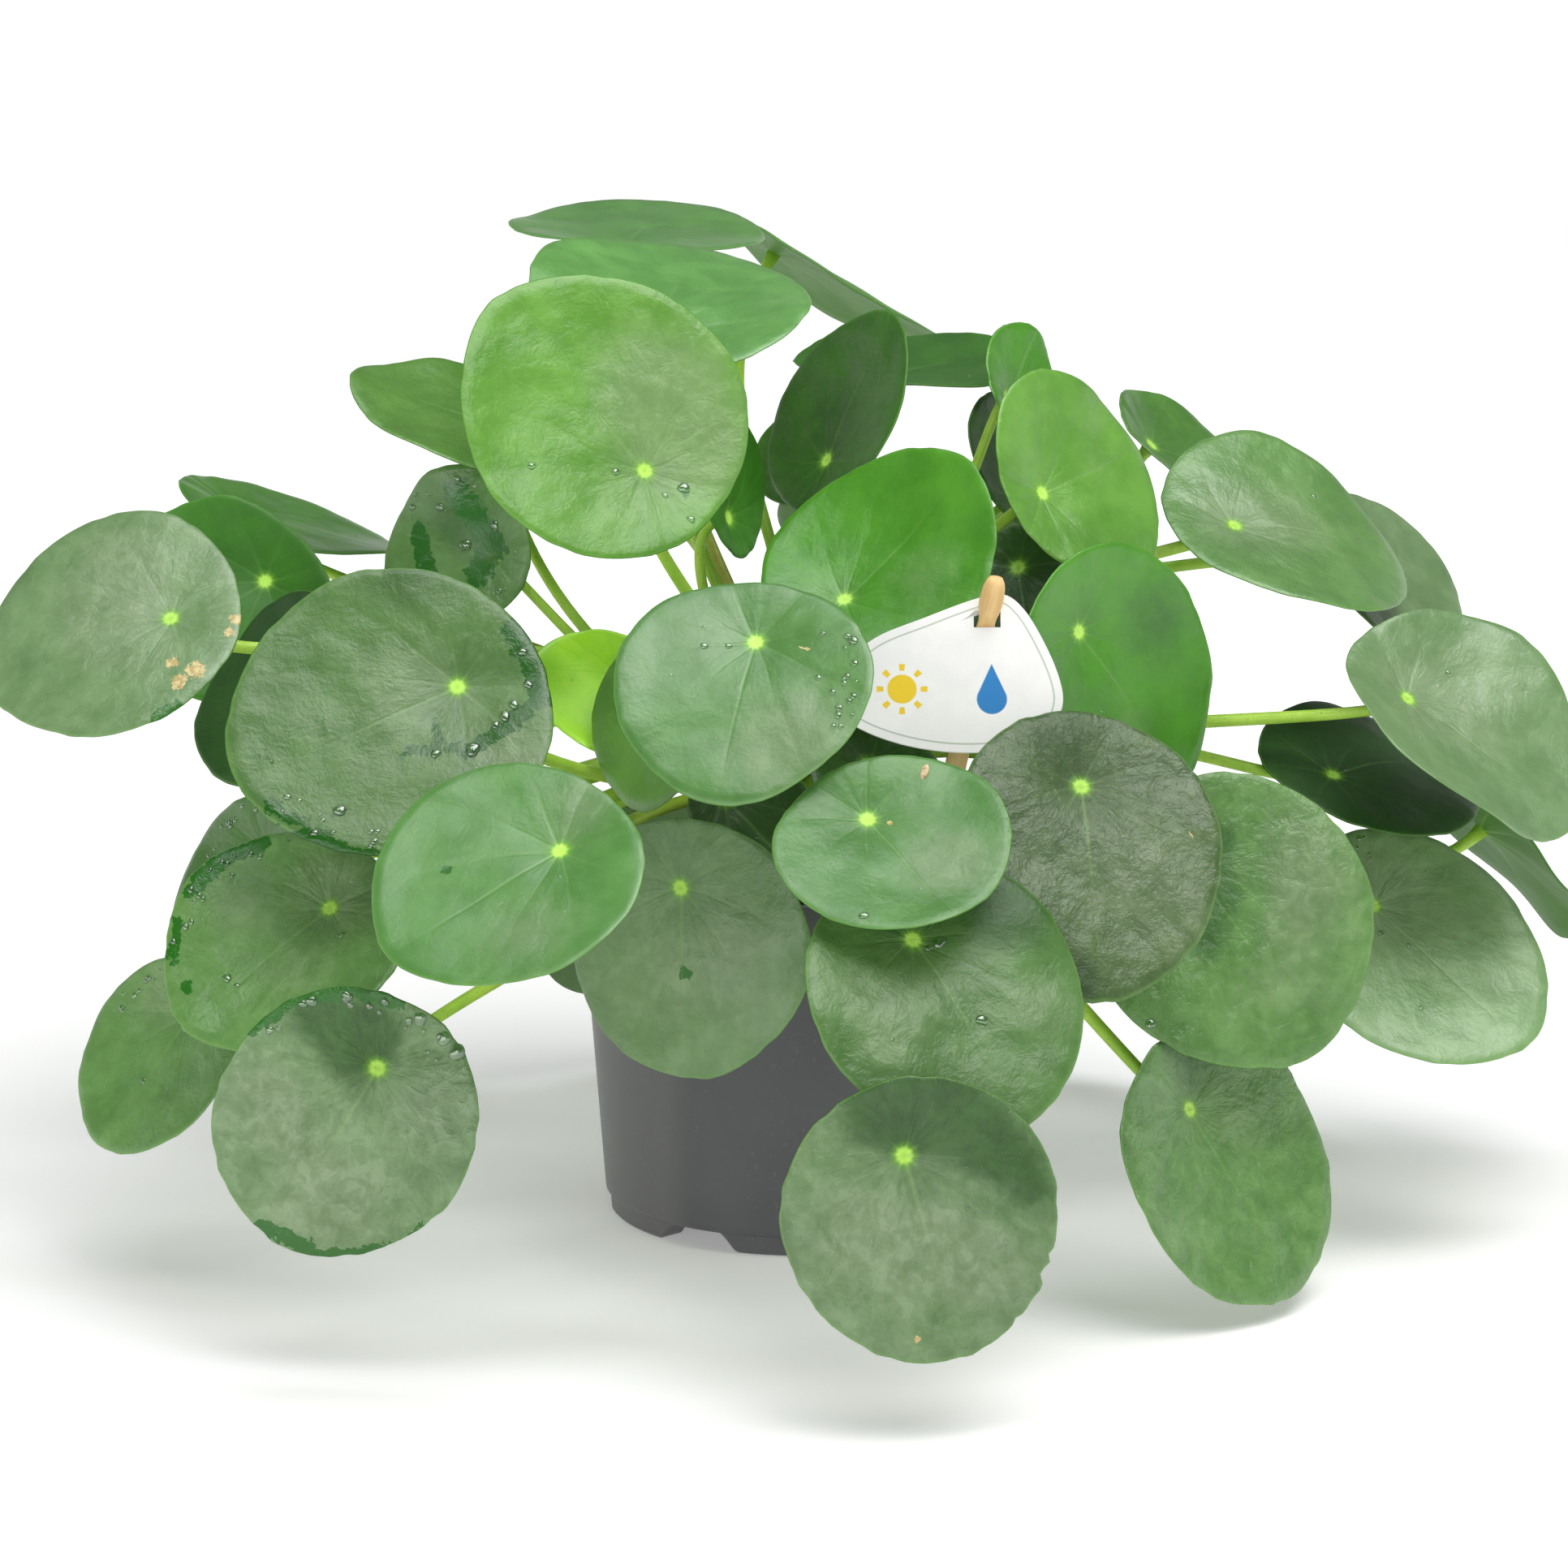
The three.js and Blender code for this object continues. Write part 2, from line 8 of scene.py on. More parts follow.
import bpy
import numpy as np
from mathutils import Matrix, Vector


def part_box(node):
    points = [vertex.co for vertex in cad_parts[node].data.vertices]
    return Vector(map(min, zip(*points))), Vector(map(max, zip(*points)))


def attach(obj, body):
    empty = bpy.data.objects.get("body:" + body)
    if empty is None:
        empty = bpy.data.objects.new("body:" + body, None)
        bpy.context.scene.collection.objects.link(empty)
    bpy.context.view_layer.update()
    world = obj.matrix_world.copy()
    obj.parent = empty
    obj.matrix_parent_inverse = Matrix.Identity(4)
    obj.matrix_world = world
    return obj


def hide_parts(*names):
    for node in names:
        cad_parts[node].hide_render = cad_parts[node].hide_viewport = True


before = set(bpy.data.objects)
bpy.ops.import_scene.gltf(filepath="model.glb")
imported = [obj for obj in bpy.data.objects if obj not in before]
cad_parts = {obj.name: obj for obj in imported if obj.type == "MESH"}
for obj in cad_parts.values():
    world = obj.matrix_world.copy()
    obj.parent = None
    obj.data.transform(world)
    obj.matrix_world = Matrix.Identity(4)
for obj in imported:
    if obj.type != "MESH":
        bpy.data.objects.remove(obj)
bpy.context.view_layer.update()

# ------------------------------------------------------------------ the plant's dimensions

MM = 0.001
POT = {
    "height": 94.0,
    "body_bottom": 5.0,
    "bottom_radius": 53.5,
    "top_radius": 59.5,
    "rim_radius": 61.5,
    "rim_height": 9.0,
    "wall": 1.4,
    "floor": 2.0,
    "foot_radius": 52.3,
    "foot_width": 8.0,
    "feet": 6,
    "gap_top": 14.0,
    "gap_bottom": 22.0,
    "first_gap": 57.0,
    "drain_radius": 4.0,
    "drain_circle": 30.0,
}
SOIL_TOP, SOIL_RELIEF = 85.0, 1.6
TRUNK = {"radius": 7.5, "root": 62.0, "top": 134.0, "lean": 3.0}
STALK = {
    "radius": 1.9,
    "seat": 3.0,
    "lowest": 104.0,
    "climb": 0.13,
    "climb_from": 40.0,
    "start_share": 0.36,
    "arch_below": 80.0,
    "arch_share": 0.45,
}
BLADE = {"hub": 0.46, "egg": 0.05, "point": 0.05, "dimple": 2.0, "dimple_width": 0.3}
TAG = {
    "thickness": 0.8,
    "slot": (44.6, -68.0, 167.0),
    "slot_size": (6.6, 4.2),
    "lean": 18.0,
    "outline": (
        (-3, 5), (4, 6.2), (9, 2.5), (13.8, -5.5), (17.5, -14.5), (18.3, -21.5), (15, -28), (8, -32),
        (-6, -33.3), (-20, -31.5), (-32, -27), (-37.5, -21), (-36, -13), (-28, -5), (-15, 0.5),
    ),
}
STICK = {"size": (5.4, 2.0), "foot": (27.2, -21.6, 64.0), "head": (46.5, -73.0, 178.0)}

# One row for each leaf: hub x, y, z; heading and lift of the way it faces; its tip's turn from downhill;
# length; width; rise of its ends and of its sides; height of its rim's waves; its stalk's rise, swing and
# reach. A least-squares program fitted the shapes of leaves 1 to 40, apart from the depths, to outlines read
# off a photograph, and a search chose every stalk's three numbers: most of this table is their output.
LEAVES = (
    # round the crown, and upper right
    (-40, -50, 202, 291, 23, -144, 74, 74, 2, 4, 0.6, 50, -10, 30),
    (-39, 0, 234, 286, 65, 154, 72, 74, -2, 5, 0.3, 60, 0, 30),
    (-50, 69, 255, 285, 80, 152, 68, 72, 3, 1, 0.3, 40, 0, 14),
    (-8, 127, 252, 18, 58, -18, 73, 68, 1, -4, 0.7, 50, 0, 30),
    (6, 9, 200, 214, 24, 168, 56, 54, 2, 3, 0.1, 40, 0, 30),
    (17, 48, 219, 271, 79, 120, 65, 63, 3, 3, 1, 40, 0, 30),
    (54, 14, 216, 322, 23, 132, 34, 26, 2, 1, 0, 30, 0, 8),
    (61, -22, 194, 314, 26, 102, 55, 59, 0, 4, 0.3, 70, 0, 14),
    (96, 50, 201, 329, 49, 51, 49, 49, 3, 3, 0.6, 20, 0, 30),
    # right side
    (114, 6, 183, 307, 52, 70, 71, 69, -5, 4, 0.3, 80, 0, 8),
    (149, 37, 176, 321, 41, 1, 58, 60, 0, 3, 0.1, 80, 0, 8),
    (156, -24, 141, 309, 44, 31, 71, 73, 1, 11, 1.1, 20, 0, 8),
    (139, -12, 119, 312, 61, 85, 65, 57, -5, -1, 0.9, 60, 0, 8),
    (186, 25, 98, 15, 42, 25, 63, 64, 0, 1, 1.7, 40, 0, 30),
    (148, -27, 87, 288, 42, 30, 71, 68, 3, 0, 0, 40, 0, 30),
    (95, -76, 107, 279, 19, 32, 73, 72, -2, 1, 1, 40, 0, 30),
    (65, -108, 132, 282, 33, -4, 72, 64, -2, 1, 0.1, -10, 0, 22),
    (94, -91, 49, 314, 25, 14, 70, 72, 3, 3, 0.6, 40, -40, 8),
    # front
    (69, -45, 161, 311, 10, 35, 67, 67, 2, 4, 0.3, 40, 0, 30),
    (10, -43, 169, 244, 39, 146, 61, 63, 8, 1, 0, 40, 0, 30),
    (-12, -105, 166, 261, 39, -6, 59, 61, -1, 3, 0, 40, 0, 30),
    (-30, -57, 156, 216, 23, 15, 54, 57, 1, 2, 1.1, 40, 0, 30),
    (14, -130, 128, 271, 51, 30, 50, 56, 3, 3, 0.6, 10, 0, 30),
    (-30, -105, 107, 244, 2, 6, 62, 65, 0, -3, 1, -10, 0, 30),
    (24, -146, 103, 288, 34, 20, 66, 66, -2, 0, 1, 40, 0, 30),
    (21, -185, 63, 277, 10, 14, 62, 61, 0, -1, 0.8, 30, 0, 30),
    # left side
    (-56, -148, 124, 254, 49, -41, 61, 65, 2, 4, 0, 0, -50, 8),
    (-84, -88, 153, 275, 33, -63, 77, 74, 1, 3, 0.8, -10, 0, 30),
    (-159, -50, 165, 255, 41, -75, 65, 68, -4, 1, 0.2, 60, 0, 22),
    (-147, 34, 165, 274, 28, -53, 55, 63, 3, 3, 1.3, 40, 0, 30),
    (-162, 88, 180, 339, 71, 8, 63, 59, 3, 0, 0.6, 20, 0, 8),
    (-83, 10, 174, 244, 14, -100, 43, 46, 0, 1, 2, -10, 0, 14),
    (-80, 39, 205, 303, 63, -127, 60, 56, 2, 1, 0.9, -10, 0, 30),
    (-130, -8, 151, 232, 33, -8, 54, 56, 3, 1, 1.9, 40, 0, 30),
    (-138, -42, 104, 221, 27, 4, 53, 58, 3, 1, 0.6, 40, 0, 30),
    (-115, -95, 100, 256, 43, -35, 60, 61, 0, 4, 0.8, 40, 0, 30),
    (-154, -66, 67, 229, 32, -11, 52, 55, 2, 2, 0.2, 40, 0, 30),
    (-98, -150, 74, 268, -2, -31, 65, 59, -1, 3, 0.7, -10, 0, 22),
    # smaller ones among the rest
    (-48, -24, 147, 289, 39, -23, 36, 45, 3, 3, 0.7, 40, 0, 30),
    (-20, -5, 186, 334, 7, 177, 39, 32, 2, 2, 0.6, 40, 0, 30),
    (0, 33, 192, 240, 30, 170, 32, 32, 3, 3, 0.5, 40, 0, 30),
    (57, 30, 188, 320, 30, 150, 44, 40, 3, 3, 0.5, 40, 0, 30),
    (56, -6, 173, 250, 35, 20, 40, 40, 2, 2, 1, 40, 0, 30),
    (-20, -76, 124, 290, 10, 40, 34, 30, 2, 8, 0.5, 40, 0, 30),
    (16, -50, 128, 285, 55, 0, 46, 34, 2, 2, 1, 40, 0, 30),
    # back
    (-140, 55, 98, 155, 22, 5, 62, 60, 2, 2, 1, 40, 0, 30),
    (-100, 100, 128, 132, 35, 10, 66, 64, 2, -3, 1, 40, 0, 30),
    (-54, 128, 72, 118, 15, -10, 68, 66, 2, -3, 1, 40, 0, 30),
    (0, 125, 125, 92, 32, 12, 68, 66, 2, 2, 1, 40, 0, 30),
    (22, 150, 66, 82, 12, 5, 64, 62, 2, -3, 1, 40, 0, 30),
    (88, 108, 84, 50, 22, -8, 70, 68, 2, -3, 1, 40, 0, 30),
    (130, 62, 74, 25, 20, 6, 64, 62, 2, 2, 1, 40, 0, 30),
    (-45, 80, 198, 110, 50, 5, 58, 56, 2, 2, 1, 70, 0, 30),
    (22, 100, 180, 80, 45, 5, 62, 60, 2, 2, 1, 40, 0, 30),
    (70, 72, 168, 45, 40, -5, 60, 58, 2, 2, 1, 40, 0, 22),
)
# The young leaves on top of the trunk: heading, lean from upright, length.
YOUNG_LEAVES = ((20, 25, 17), (140, 30, 20), (255, 20, 15), (320, 45, 23), (80, 50, 24))

# Linear colour of leaf tissue, how wrinkled such a leaf is, and how much more matt than the glossiest.
TONES = {
    # fresh: pale young tissue, made lighter still by painted light shining through the leaf
    "fresh": ((0.420, 0.880, 0.030), 0.15, 0.08),
    "bright": ((0.050, 0.225, 0.006), 0.2, 0.05),
    "backlit": ((0.030, 0.170, 0.002), 0.2, 0.35),
    "satin": ((0.060, 0.190, 0.025), 0.3, 0.25),
    "light": ((0.095, 0.270, 0.028), 0.25, 0.03),
    "pale": ((0.120, 0.220, 0.090), 0.35, 0.02),
    "mid": ((0.050, 0.170, 0.016), 0.4, 0.04),
    "blue": ((0.075, 0.225, 0.045), 0.25, 0.02),
    "cool": ((0.078, 0.185, 0.045), 0.45, 0.02),
    "grey": ((0.060, 0.125, 0.032), 0.8, 0.02),
    # dark and deep: painted shade, darker copies of the tissue for leaves in the shade of others
    "dark": ((0.022, 0.085, 0.006), 0.5, 0.10),
    "deep": ((0.010, 0.060, 0.002), 0.3, 0.25),
}
# The tone of each leaf, in the order of LEAVES.
LEAF_TONES = (
    "light blue blue satin dark backlit bright light mid "
    "cool pale pale deep backlit pale cool grey cool "
    "bright bright blue light blue pale cool pale "
    "blue cool pale backlit bright cool light deep mid cool cool pale "
    "fresh backlit mid dark dark dark dark "
    "mid mid grey mid grey mid mid blue mid mid"
).split()

pot_low, pot_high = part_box("pot")
POT_CENTRE = np.array([(pot_low.x + pot_high.x) / 2, (pot_low.y + pot_high.y) / 2, 0.0])


def in_row(points):
    """Millimetres from the pot's centre to metres in the row frame."""
    return np.asarray(points, float) * MM + POT_CENTRE


# ------------------------------------------------------------------ mesh helpers

GOLDEN_ANGLE = 137.5


def direction(heading, elevation):
    h, e = math.radians(heading), math.radians(elevation)
    return np.array([math.cos(e) * math.cos(h), math.cos(e) * math.sin(h), math.sin(e)])


def unit(v):
    return v / np.linalg.norm(v, axis=-1, keepdims=True)


def turned(vector, axis, degrees):
    a = math.radians(degrees)
    along = axis * np.dot(axis, vector) * (1 - math.cos(a))
    return vector * math.cos(a) + np.cross(axis, vector) * math.sin(a) + along


def circle(sides):
    return 2 * np.pi * np.arange(sides) / sides


def ring(angles, u, v):
    """Points round a unit circle that turns from u to v."""
    return np.outer(np.cos(angles), u) + np.outer(np.sin(angles), v)


def loft_faces(rings, sides, closed_ends=True):
    """Faces of a closed skin over rings of equal size, which face outward where the rings turn anticlockwise
    about the way that they advance."""
    faces = []
    for a in range(0, (rings - 1) * sides, sides):
        for i in range(sides):
            n = (i + 1) % sides
            faces.append((a + i, a + n, a + sides + n, a + sides + i))
    if closed_ends:
        faces.append(tuple(reversed(range(sides))))
        faces.append(tuple(range((rings - 1) * sides, rings * sides)))
    return faces


def spread(value, count):
    """A value for each of count points, from that many values or from one number or colour."""
    value = np.asarray(value, np.float32)
    return value if value.shape[:1] == (count,) else np.broadcast_to(value, (count, *value.shape))


def add_object(name, data):
    thing = bpy.data.objects.new(name, data)
    bpy.context.scene.collection.objects.link(thing)
    return thing


def make_piece(name, points, faces, material, nodes=(), slot=None, attributes=None, auto=None):
    """A mesh piece from points in millimetres from the pot's centre, riding on the plant."""
    mesh = bpy.data.meshes.new(name)
    mesh.from_pydata([tuple(p) for p in in_row(points)], [], faces)
    for key, value in (attributes or {}).items():
        values = spread(value, len(points))
        kind, field = ("FLOAT", "value") if values.ndim == 1 else ("FLOAT_VECTOR", "vector")
        mesh.attributes.new(key, kind, "POINT").data.foreach_set(field, values.ravel())
    mesh.validate()
    mesh.polygons.foreach_set("use_smooth", [True] * len(mesh.polygons))
    if auto is not None:
        mesh.set_sharp_from_angle(angle=math.radians(auto))
    mesh.materials.append(material)
    piece = add_object(name, mesh)
    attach(piece, "root")
    if nodes:
        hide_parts(*nodes)
    return piece


class Skin:
    """Points and faces gathered from several bodies for one mesh."""

    def __init__(self):
        self.points, self.faces, self.attributes, self.count = [], [], {}, 0

    def add(self, points, faces, **attributes):
        for key, value in attributes.items():
            self.attributes.setdefault(key, []).append(spread(value, len(points)))
        self.points.append(points)
        self.faces += [tuple(self.count + i for i in face) for face in faces]
        self.count += len(points)

    def piece(self, name, material, nodes=(), slot=None, auto=None):
        attributes = {key: np.concatenate(values) for key, values in self.attributes.items()}
        points = np.concatenate(self.points)
        return make_piece(name, points, self.faces, material, nodes, slot, attributes, auto)


def tube(path, radii, sides=12, flat=1.0, up=(0, 0, 1)):
    """A closed tube along points, with a radius at each; flat squeezes it across."""
    path = np.asarray(path, float)
    tangents = unit(np.gradient(path, axis=0))
    side = np.cross(tangents[0], up)
    if np.linalg.norm(side) < 1e-3:
        side = np.cross(tangents[0], [1.0, 0, 0])
    rings = []
    for centre, tangent, radius in zip(path, tangents, radii):
        side = unit(side - tangent * np.dot(side, tangent))
        rings.append(centre + radius * ring(circle(sides), side, flat * np.cross(tangent, side)))
    return np.concatenate(rings), loft_faces(len(path), sides)


def curve(start, one, two, end, steps):
    """Points along a cubic Bezier curve."""
    u = np.linspace(0, 1, steps)[:, None]
    return (1 - u) ** 3 * start + 3 * u * (1 - u) ** 2 * one + 3 * u * u * (1 - u) * two + u**3 * end


# ------------------------------------------------------------------ node materials


class Value:
    """A node's output, which joins numbers and other outputs by + - * / through further nodes."""

    def __init__(self, nodes, socket):
        self.nodes, self.socket = nodes, socket

    def __add__(self, other):
        return self.nodes.math("ADD", self, other)

    def __sub__(self, other):
        return self.nodes.math("SUBTRACT", self, other)

    def __rsub__(self, other):
        return self.nodes.math("SUBTRACT", other, self)

    def __mul__(self, other):
        return self.nodes.math("MULTIPLY", self, other)

    def __truediv__(self, other):
        return self.nodes.math("DIVIDE", self, other)

    def __abs__(self):
        return self.nodes.math("ABSOLUTE", self)

    __radd__, __rmul__ = __add__, __mul__


class Nodes:
    """The node tree of a material or a world, with short ways to add and join nodes."""

    def __init__(self, owner):
        owner.use_nodes = True
        self.owner, self.tree = owner, owner.node_tree
        self.shader = self.tree.nodes.get("Background")

    def put(self, socket, value):
        if isinstance(value, Value):
            self.tree.links.new(value.socket, socket)
        elif socket.type == "RGBA":
            socket.default_value = (*value, 1.0)
        else:
            socket.default_value = value

    def set(self, **values):
        """Give the shader its inputs, and return the material or world."""
        for key, value in values.items():
            self.put(self.shader.inputs[key.replace("_", " ")], value)
        return self.owner

    def node(self, kind, **settings):
        n = self.tree.nodes.new(kind)
        for key, value in settings.items():
            setattr(n, key, value)
        return n

    def fed(self, n, values, output=0):
        """An output of a node whose inputs, by name or in order, are these values."""
        for key, value in values.items() if isinstance(values, dict) else enumerate(values):
            self.put(n.inputs[key], value)
        return Value(self, n.outputs[output])

    def math(self, operation, *values):
        return self.fed(self.node("ShaderNodeMath", operation=operation), values)

    def ramp(self, value, low, high, to_low=0.0, to_high=1.0):
        """From to_low at low to to_high at high, with soft ends, and level beyond."""
        inputs = {"Value": value, "From Min": low, "From Max": high, "To Min": to_low, "To Max": to_high}
        return self.fed(self.node("ShaderNodeMapRange", interpolation_type="SMOOTHSTEP"), inputs)

    def mix(self, share, a, b, blend="MIX"):
        n = self.node("ShaderNodeMix", data_type="RGBA", blend_type=blend)
        self.fed(n, {"Factor": share, "A": a, "B": b})
        return Value(self, next(o for o in n.outputs if o.type == "RGBA"))

    def tint(self, colour, factors):
        return self.mix(1.0, colour, factors, "MULTIPLY")

    def shaded(self, share, colour, factors):
        return self.mix(share, colour, self.tint(colour, factors))

    def place(self, output="Object"):
        return Value(self, self.node("ShaderNodeTexCoord").outputs[output])

    def parts(self, vector):
        n = self.node("ShaderNodeSeparateXYZ")
        self.put(n.inputs[0], vector)
        return [Value(self, o) for o in n.outputs]

    def noise(self, scale, detail=3.0, rough=0.55, at=None, distortion=0.0):
        inputs = {"Vector": at or self.place(), "Scale": scale, "Detail": detail, "Roughness": rough}
        return self.fed(self.node("ShaderNodeTexNoise"), {**inputs, "Distortion": distortion}, "Fac")

    def cells(self, scale, feature="F1"):
        n = self.node("ShaderNodeTexVoronoi", feature=feature)
        return self.fed(n, {"Vector": self.place(), "Scale": scale}, "Distance")

    def attribute(self, name, output="Fac"):
        return Value(self, self.node("ShaderNodeAttribute", attribute_name=name).outputs[output])

    def bump(self, height, distance, strength=1.0):
        inputs = {"Height": height, "Strength": strength, "Distance": distance}
        return self.fed(self.node("ShaderNodeBump"), inputs, "Normal")


def new_material(name):
    n = Nodes(bpy.data.materials.new(name))
    n.tree.nodes.clear()
    n.shader = n.node("ShaderNodeBsdfPrincipled")
    n.tree.links.new(n.shader.outputs["BSDF"], n.node("ShaderNodeOutputMaterial").inputs["Surface"])
    return n


VEIN_STEP = 0.66  # radians from one vein to the next


def leaf_material(name, specular, coat):
    """Satin blades: a glowing hub, faint veins that fan out from it, mottled green, leathery wrinkles,
    painted sheen and shade.
    """
    n = new_material(name)
    # millimetres from the hub towards the tip and across, and the share of the way from hub to rim
    along, side, share = n.parts(n.attribute("spot", "Vector"))
    face, wet, wrinkle, scorch, bloom = map(n.attribute, ("face", "wet", "wrinkle", "scorch", "bloom"))
    tone = n.attribute("tone", "Color")
    broad, patch, fine = n.noise(26, 3, 0.5), n.noise(75, 4, 0.6), n.noise(260, 4, 0.6)
    radius = n.math("SQRT", along * along + side * side)
    angle = abs(n.math("ARCTAN2", side, along))

    # veins, bent towards the tip further out, with a furrow beside each and a net between them
    bent = angle + radius * n.math("SINE", angle) * 0.006 + (broad - 0.5) * 0.5
    off = abs(n.math("FRACT", bent / VEIN_STEP + 0.5) - 0.5) * VEIN_STEP * radius
    middle = (1 - n.ramp(abs(side), 0.05, 0.7)) * n.ramp(along, 0, 2)
    vein = (1 - n.ramp(off, 0.05, 0.75)) * n.ramp(radius, 4, 20, 1, 0.12)
    vein = n.math("MAXIMUM", vein, middle * n.ramp(radius, 16, 44, 1, 0.1))
    furrow = (1 - n.ramp(off, 0.0, 3.0)) * n.ramp(radius, 10, 40, 1, 0.3)
    net = 1 - n.ramp(n.cells(230, "DISTANCE_TO_EDGE"), 0.0, 0.08)

    dull, lively = n.tint(tone, (0.84, 0.88, 0.80)), n.tint(tone, (1.14, 1.09, 1.10))
    colour = n.mix(n.ramp(patch, 0.34, 0.68), dull, lively)
    colour = n.shaded(n.ramp(broad, 0.35, 0.65, 0, 0.5), colour, (1.22, 1.14, 1.16))
    colour = n.mix(n.ramp(fine, 0.52, 0.8, 0, 0.3), colour, n.tint(tone, (1.3, 1.22, 1.1)))
    colour = n.mix(n.ramp(n.noise(1500, 2), 0.62, 0.74) * 0.2, colour, n.tint(tone, (0.6, 0.62, 0.6)))
    paler = n.mix(0.5, tone, (0.22, 0.42, 0.10))
    for amount in (vein * 0.16, middle * n.ramp(radius, 14, 30, 1, 0) * 0.3, net * 0.04):
        colour = n.mix(amount, colour, paler)
    # painted shade and painted sheen: darker patches, and paler, greyer patches, with a broken edge
    broken = (patch - 0.5) * 0.6 + (fine - 0.5) * 0.5
    shady, painted_sheen = n.ramp(broken - bloom, 0.1, 0.9), n.ramp(bloom + broken, 0.1, 0.9)
    colour = n.shaded(shady * 0.9, colour, (0.19, 0.41, 0.11))
    colour = n.mix(painted_sheen * 0.5, colour, (0.20, 0.27, 0.15))
    # painted highlight on the wrinkles' ridges and painted shade in their valleys
    leathery = wrinkle + painted_sheen * 0.15
    fan = n.fed(n.node("ShaderNodeCombineXYZ"), (angle * 7.0, radius * 0.2, side * 0.06))
    streaks = n.noise(1.0, 4, 0.62, at=fan, distortion=0.5)
    creases = streaks * 0.6 + n.noise(190, 4, 0.62, distortion=0.6) * 0.8 - 0.2
    ridge_highlight, valley_shade = n.ramp(creases, 0.47, 0.62), 1 - n.ramp(creases, 0.36, 0.47)
    colour = n.shaded(ridge_highlight * (leathery * 0.45), colour, (1.58, 1.40, 1.72))
    colour = n.shaded(valley_shade * (leathery * 0.4), colour, (0.60, 0.72, 0.52))
    # a paler rim, and the underside
    colour = n.mix(n.ramp(share, 0.982, 0.998) * 0.25, colour, (0.15, 0.38, 0.05))
    under = n.mix(vein * 0.35, n.mix(0.4, tone, (0.14, 0.32, 0.06)), (0.26, 0.44, 0.12))
    colour = n.mix(face, under, colour)
    # the hub, where the stalk's light shows through, with a few short rays along the veins
    star = radius * (1 - vein * 0.1)
    colour = n.mix((1 - n.ramp(star, 1.2, 3.8)) * 0.6, colour, (0.20, 0.50, 0.03))
    colour = n.mix(1 - n.ramp(star, 1.0, 2.3), colour, (0.52, 0.90, 0.12))
    # water soaks and darkens
    film = n.ramp(wet + (n.noise(330, 4, 0.7) - 0.5) * 1.9, 0.42, 0.5)
    colour = n.mix(film * 0.95, colour, n.tint(tone, (0.10, 0.54, 0.03)))
    # brown, dry marks
    burnt = n.ramp(scorch + (n.noise(750, 4, 0.7) - 0.5) * 1.5, 0.6, 0.7)
    dry = n.mix(n.ramp(n.noise(800, 2), 0.4, 0.6), (0.74, 0.60, 0.30), (0.50, 0.36, 0.14))
    colour = n.mix(burnt * 0.85, colour, dry)

    roughness = n.ramp(patch, 0.3, 0.7, 0.29, 0.37) + n.attribute("matt")
    roughness = (roughness + (1 - face) * 0.2 + burnt * 0.3 + shady * 0.12) * (1 - film * 0.3)
    # broad soft swells, then creases and a leathery grain
    height = n.noise(40, 2, 0.45) * (wrinkle * 2.4 + 3.2) + creases * (leathery * 1.1 + 0.05)
    height = height + n.noise(800, 2) * (wrinkle * 0.12 + 0.05)
    height = height + n.noise(95, 2, 0.5, distortion=0.4) * (leathery * 0.9)
    height = height - vein * 0.1 - furrow * 0.16 - net * 0.012
    n.set(IOR=1.5, Specular_IOR_Level=specular, Coat_Weight=coat, Coat_Roughness=0.3, Coat_IOR=1.45)
    return n.set(Base_Color=colour, Roughness=roughness, Normal=n.bump(height, 0.0012, 0.8))


def stalk_material():
    """Juicy yellow-green stalks, reddish brown near some feet, with long faint stripes."""
    n = new_material("stalk")
    rise, blush = n.attribute("rise"), n.attribute("blush")
    long = n.fed(n.node("ShaderNodeVectorMath", operation="MULTIPLY"), (n.place(), (1.0, 1.0, 0.15)))
    stripe, speck = n.noise(900, 3, 0.6, at=long), n.noise(1900, 1)
    colour = n.mix(n.ramp(n.noise(60, 2), 0.3, 0.7), (0.33, 0.60, 0.05), (0.50, 0.77, 0.095))
    colour = n.mix(n.ramp(stripe, 0.5, 0.75, 0, 0.5), colour, (0.38, 0.60, 0.12))
    colour = n.mix(n.ramp(rise, 0.8, 1.0, 0, 0.5), colour, (0.38, 0.66, 0.07))
    colour = n.mix(blush * n.ramp(rise, 0.15, 0.75, 1, 0), colour, (0.26, 0.12, 0.03))
    colour = n.mix(n.ramp(speck, 0.66, 0.72, 0, 0.5), colour, (0.12, 0.16, 0.03))
    n.set(Normal=n.bump(stripe + speck * 0.3, 0.0003, 0.5), IOR=1.45)
    return n.set(Base_Color=colour, Roughness=n.ramp(stripe, 0.3, 0.7, 0.3, 0.45))


def trunk_material():
    """Brown-green bark, greener near the top, with dark flecks."""
    n = new_material("trunk")
    broad, fine = n.noise(90, 4, 0.65), n.noise(700, 4, 0.65)
    colour = n.mix(n.ramp(broad, 0.35, 0.65), (0.10, 0.075, 0.03), (0.20, 0.16, 0.07))
    colour = n.mix(n.ramp(n.attribute("rise"), 0.55, 1.0, 0, 0.75), colour, (0.17, 0.26, 0.05))
    colour = n.mix(n.ramp(fine, 0.55, 0.75, 0, 0.6), colour, (0.05, 0.035, 0.018))
    return n.set(Base_Color=colour, Roughness=0.75, Normal=n.bump(fine + broad, 0.0008, 0.7))


def soil_material():
    """Dark, moist peat with lighter fibres."""
    n = new_material("soil")
    broad, fine = n.noise(120, 4, 0.6), n.noise(900, 4, 0.7)
    colour = n.mix(n.ramp(broad, 0.35, 0.65), (0.020, 0.012, 0.008), (0.060, 0.037, 0.022))
    colour = n.mix(n.ramp(fine, 0.58, 0.72, 0, 0.7), colour, (0.12, 0.075, 0.04))
    rough = n.ramp(broad, 0.3, 0.7, 0.7, 0.95)
    return n.set(Base_Color=colour, Roughness=rough, Normal=n.bump(broad + fine, 0.0022, 0.9))


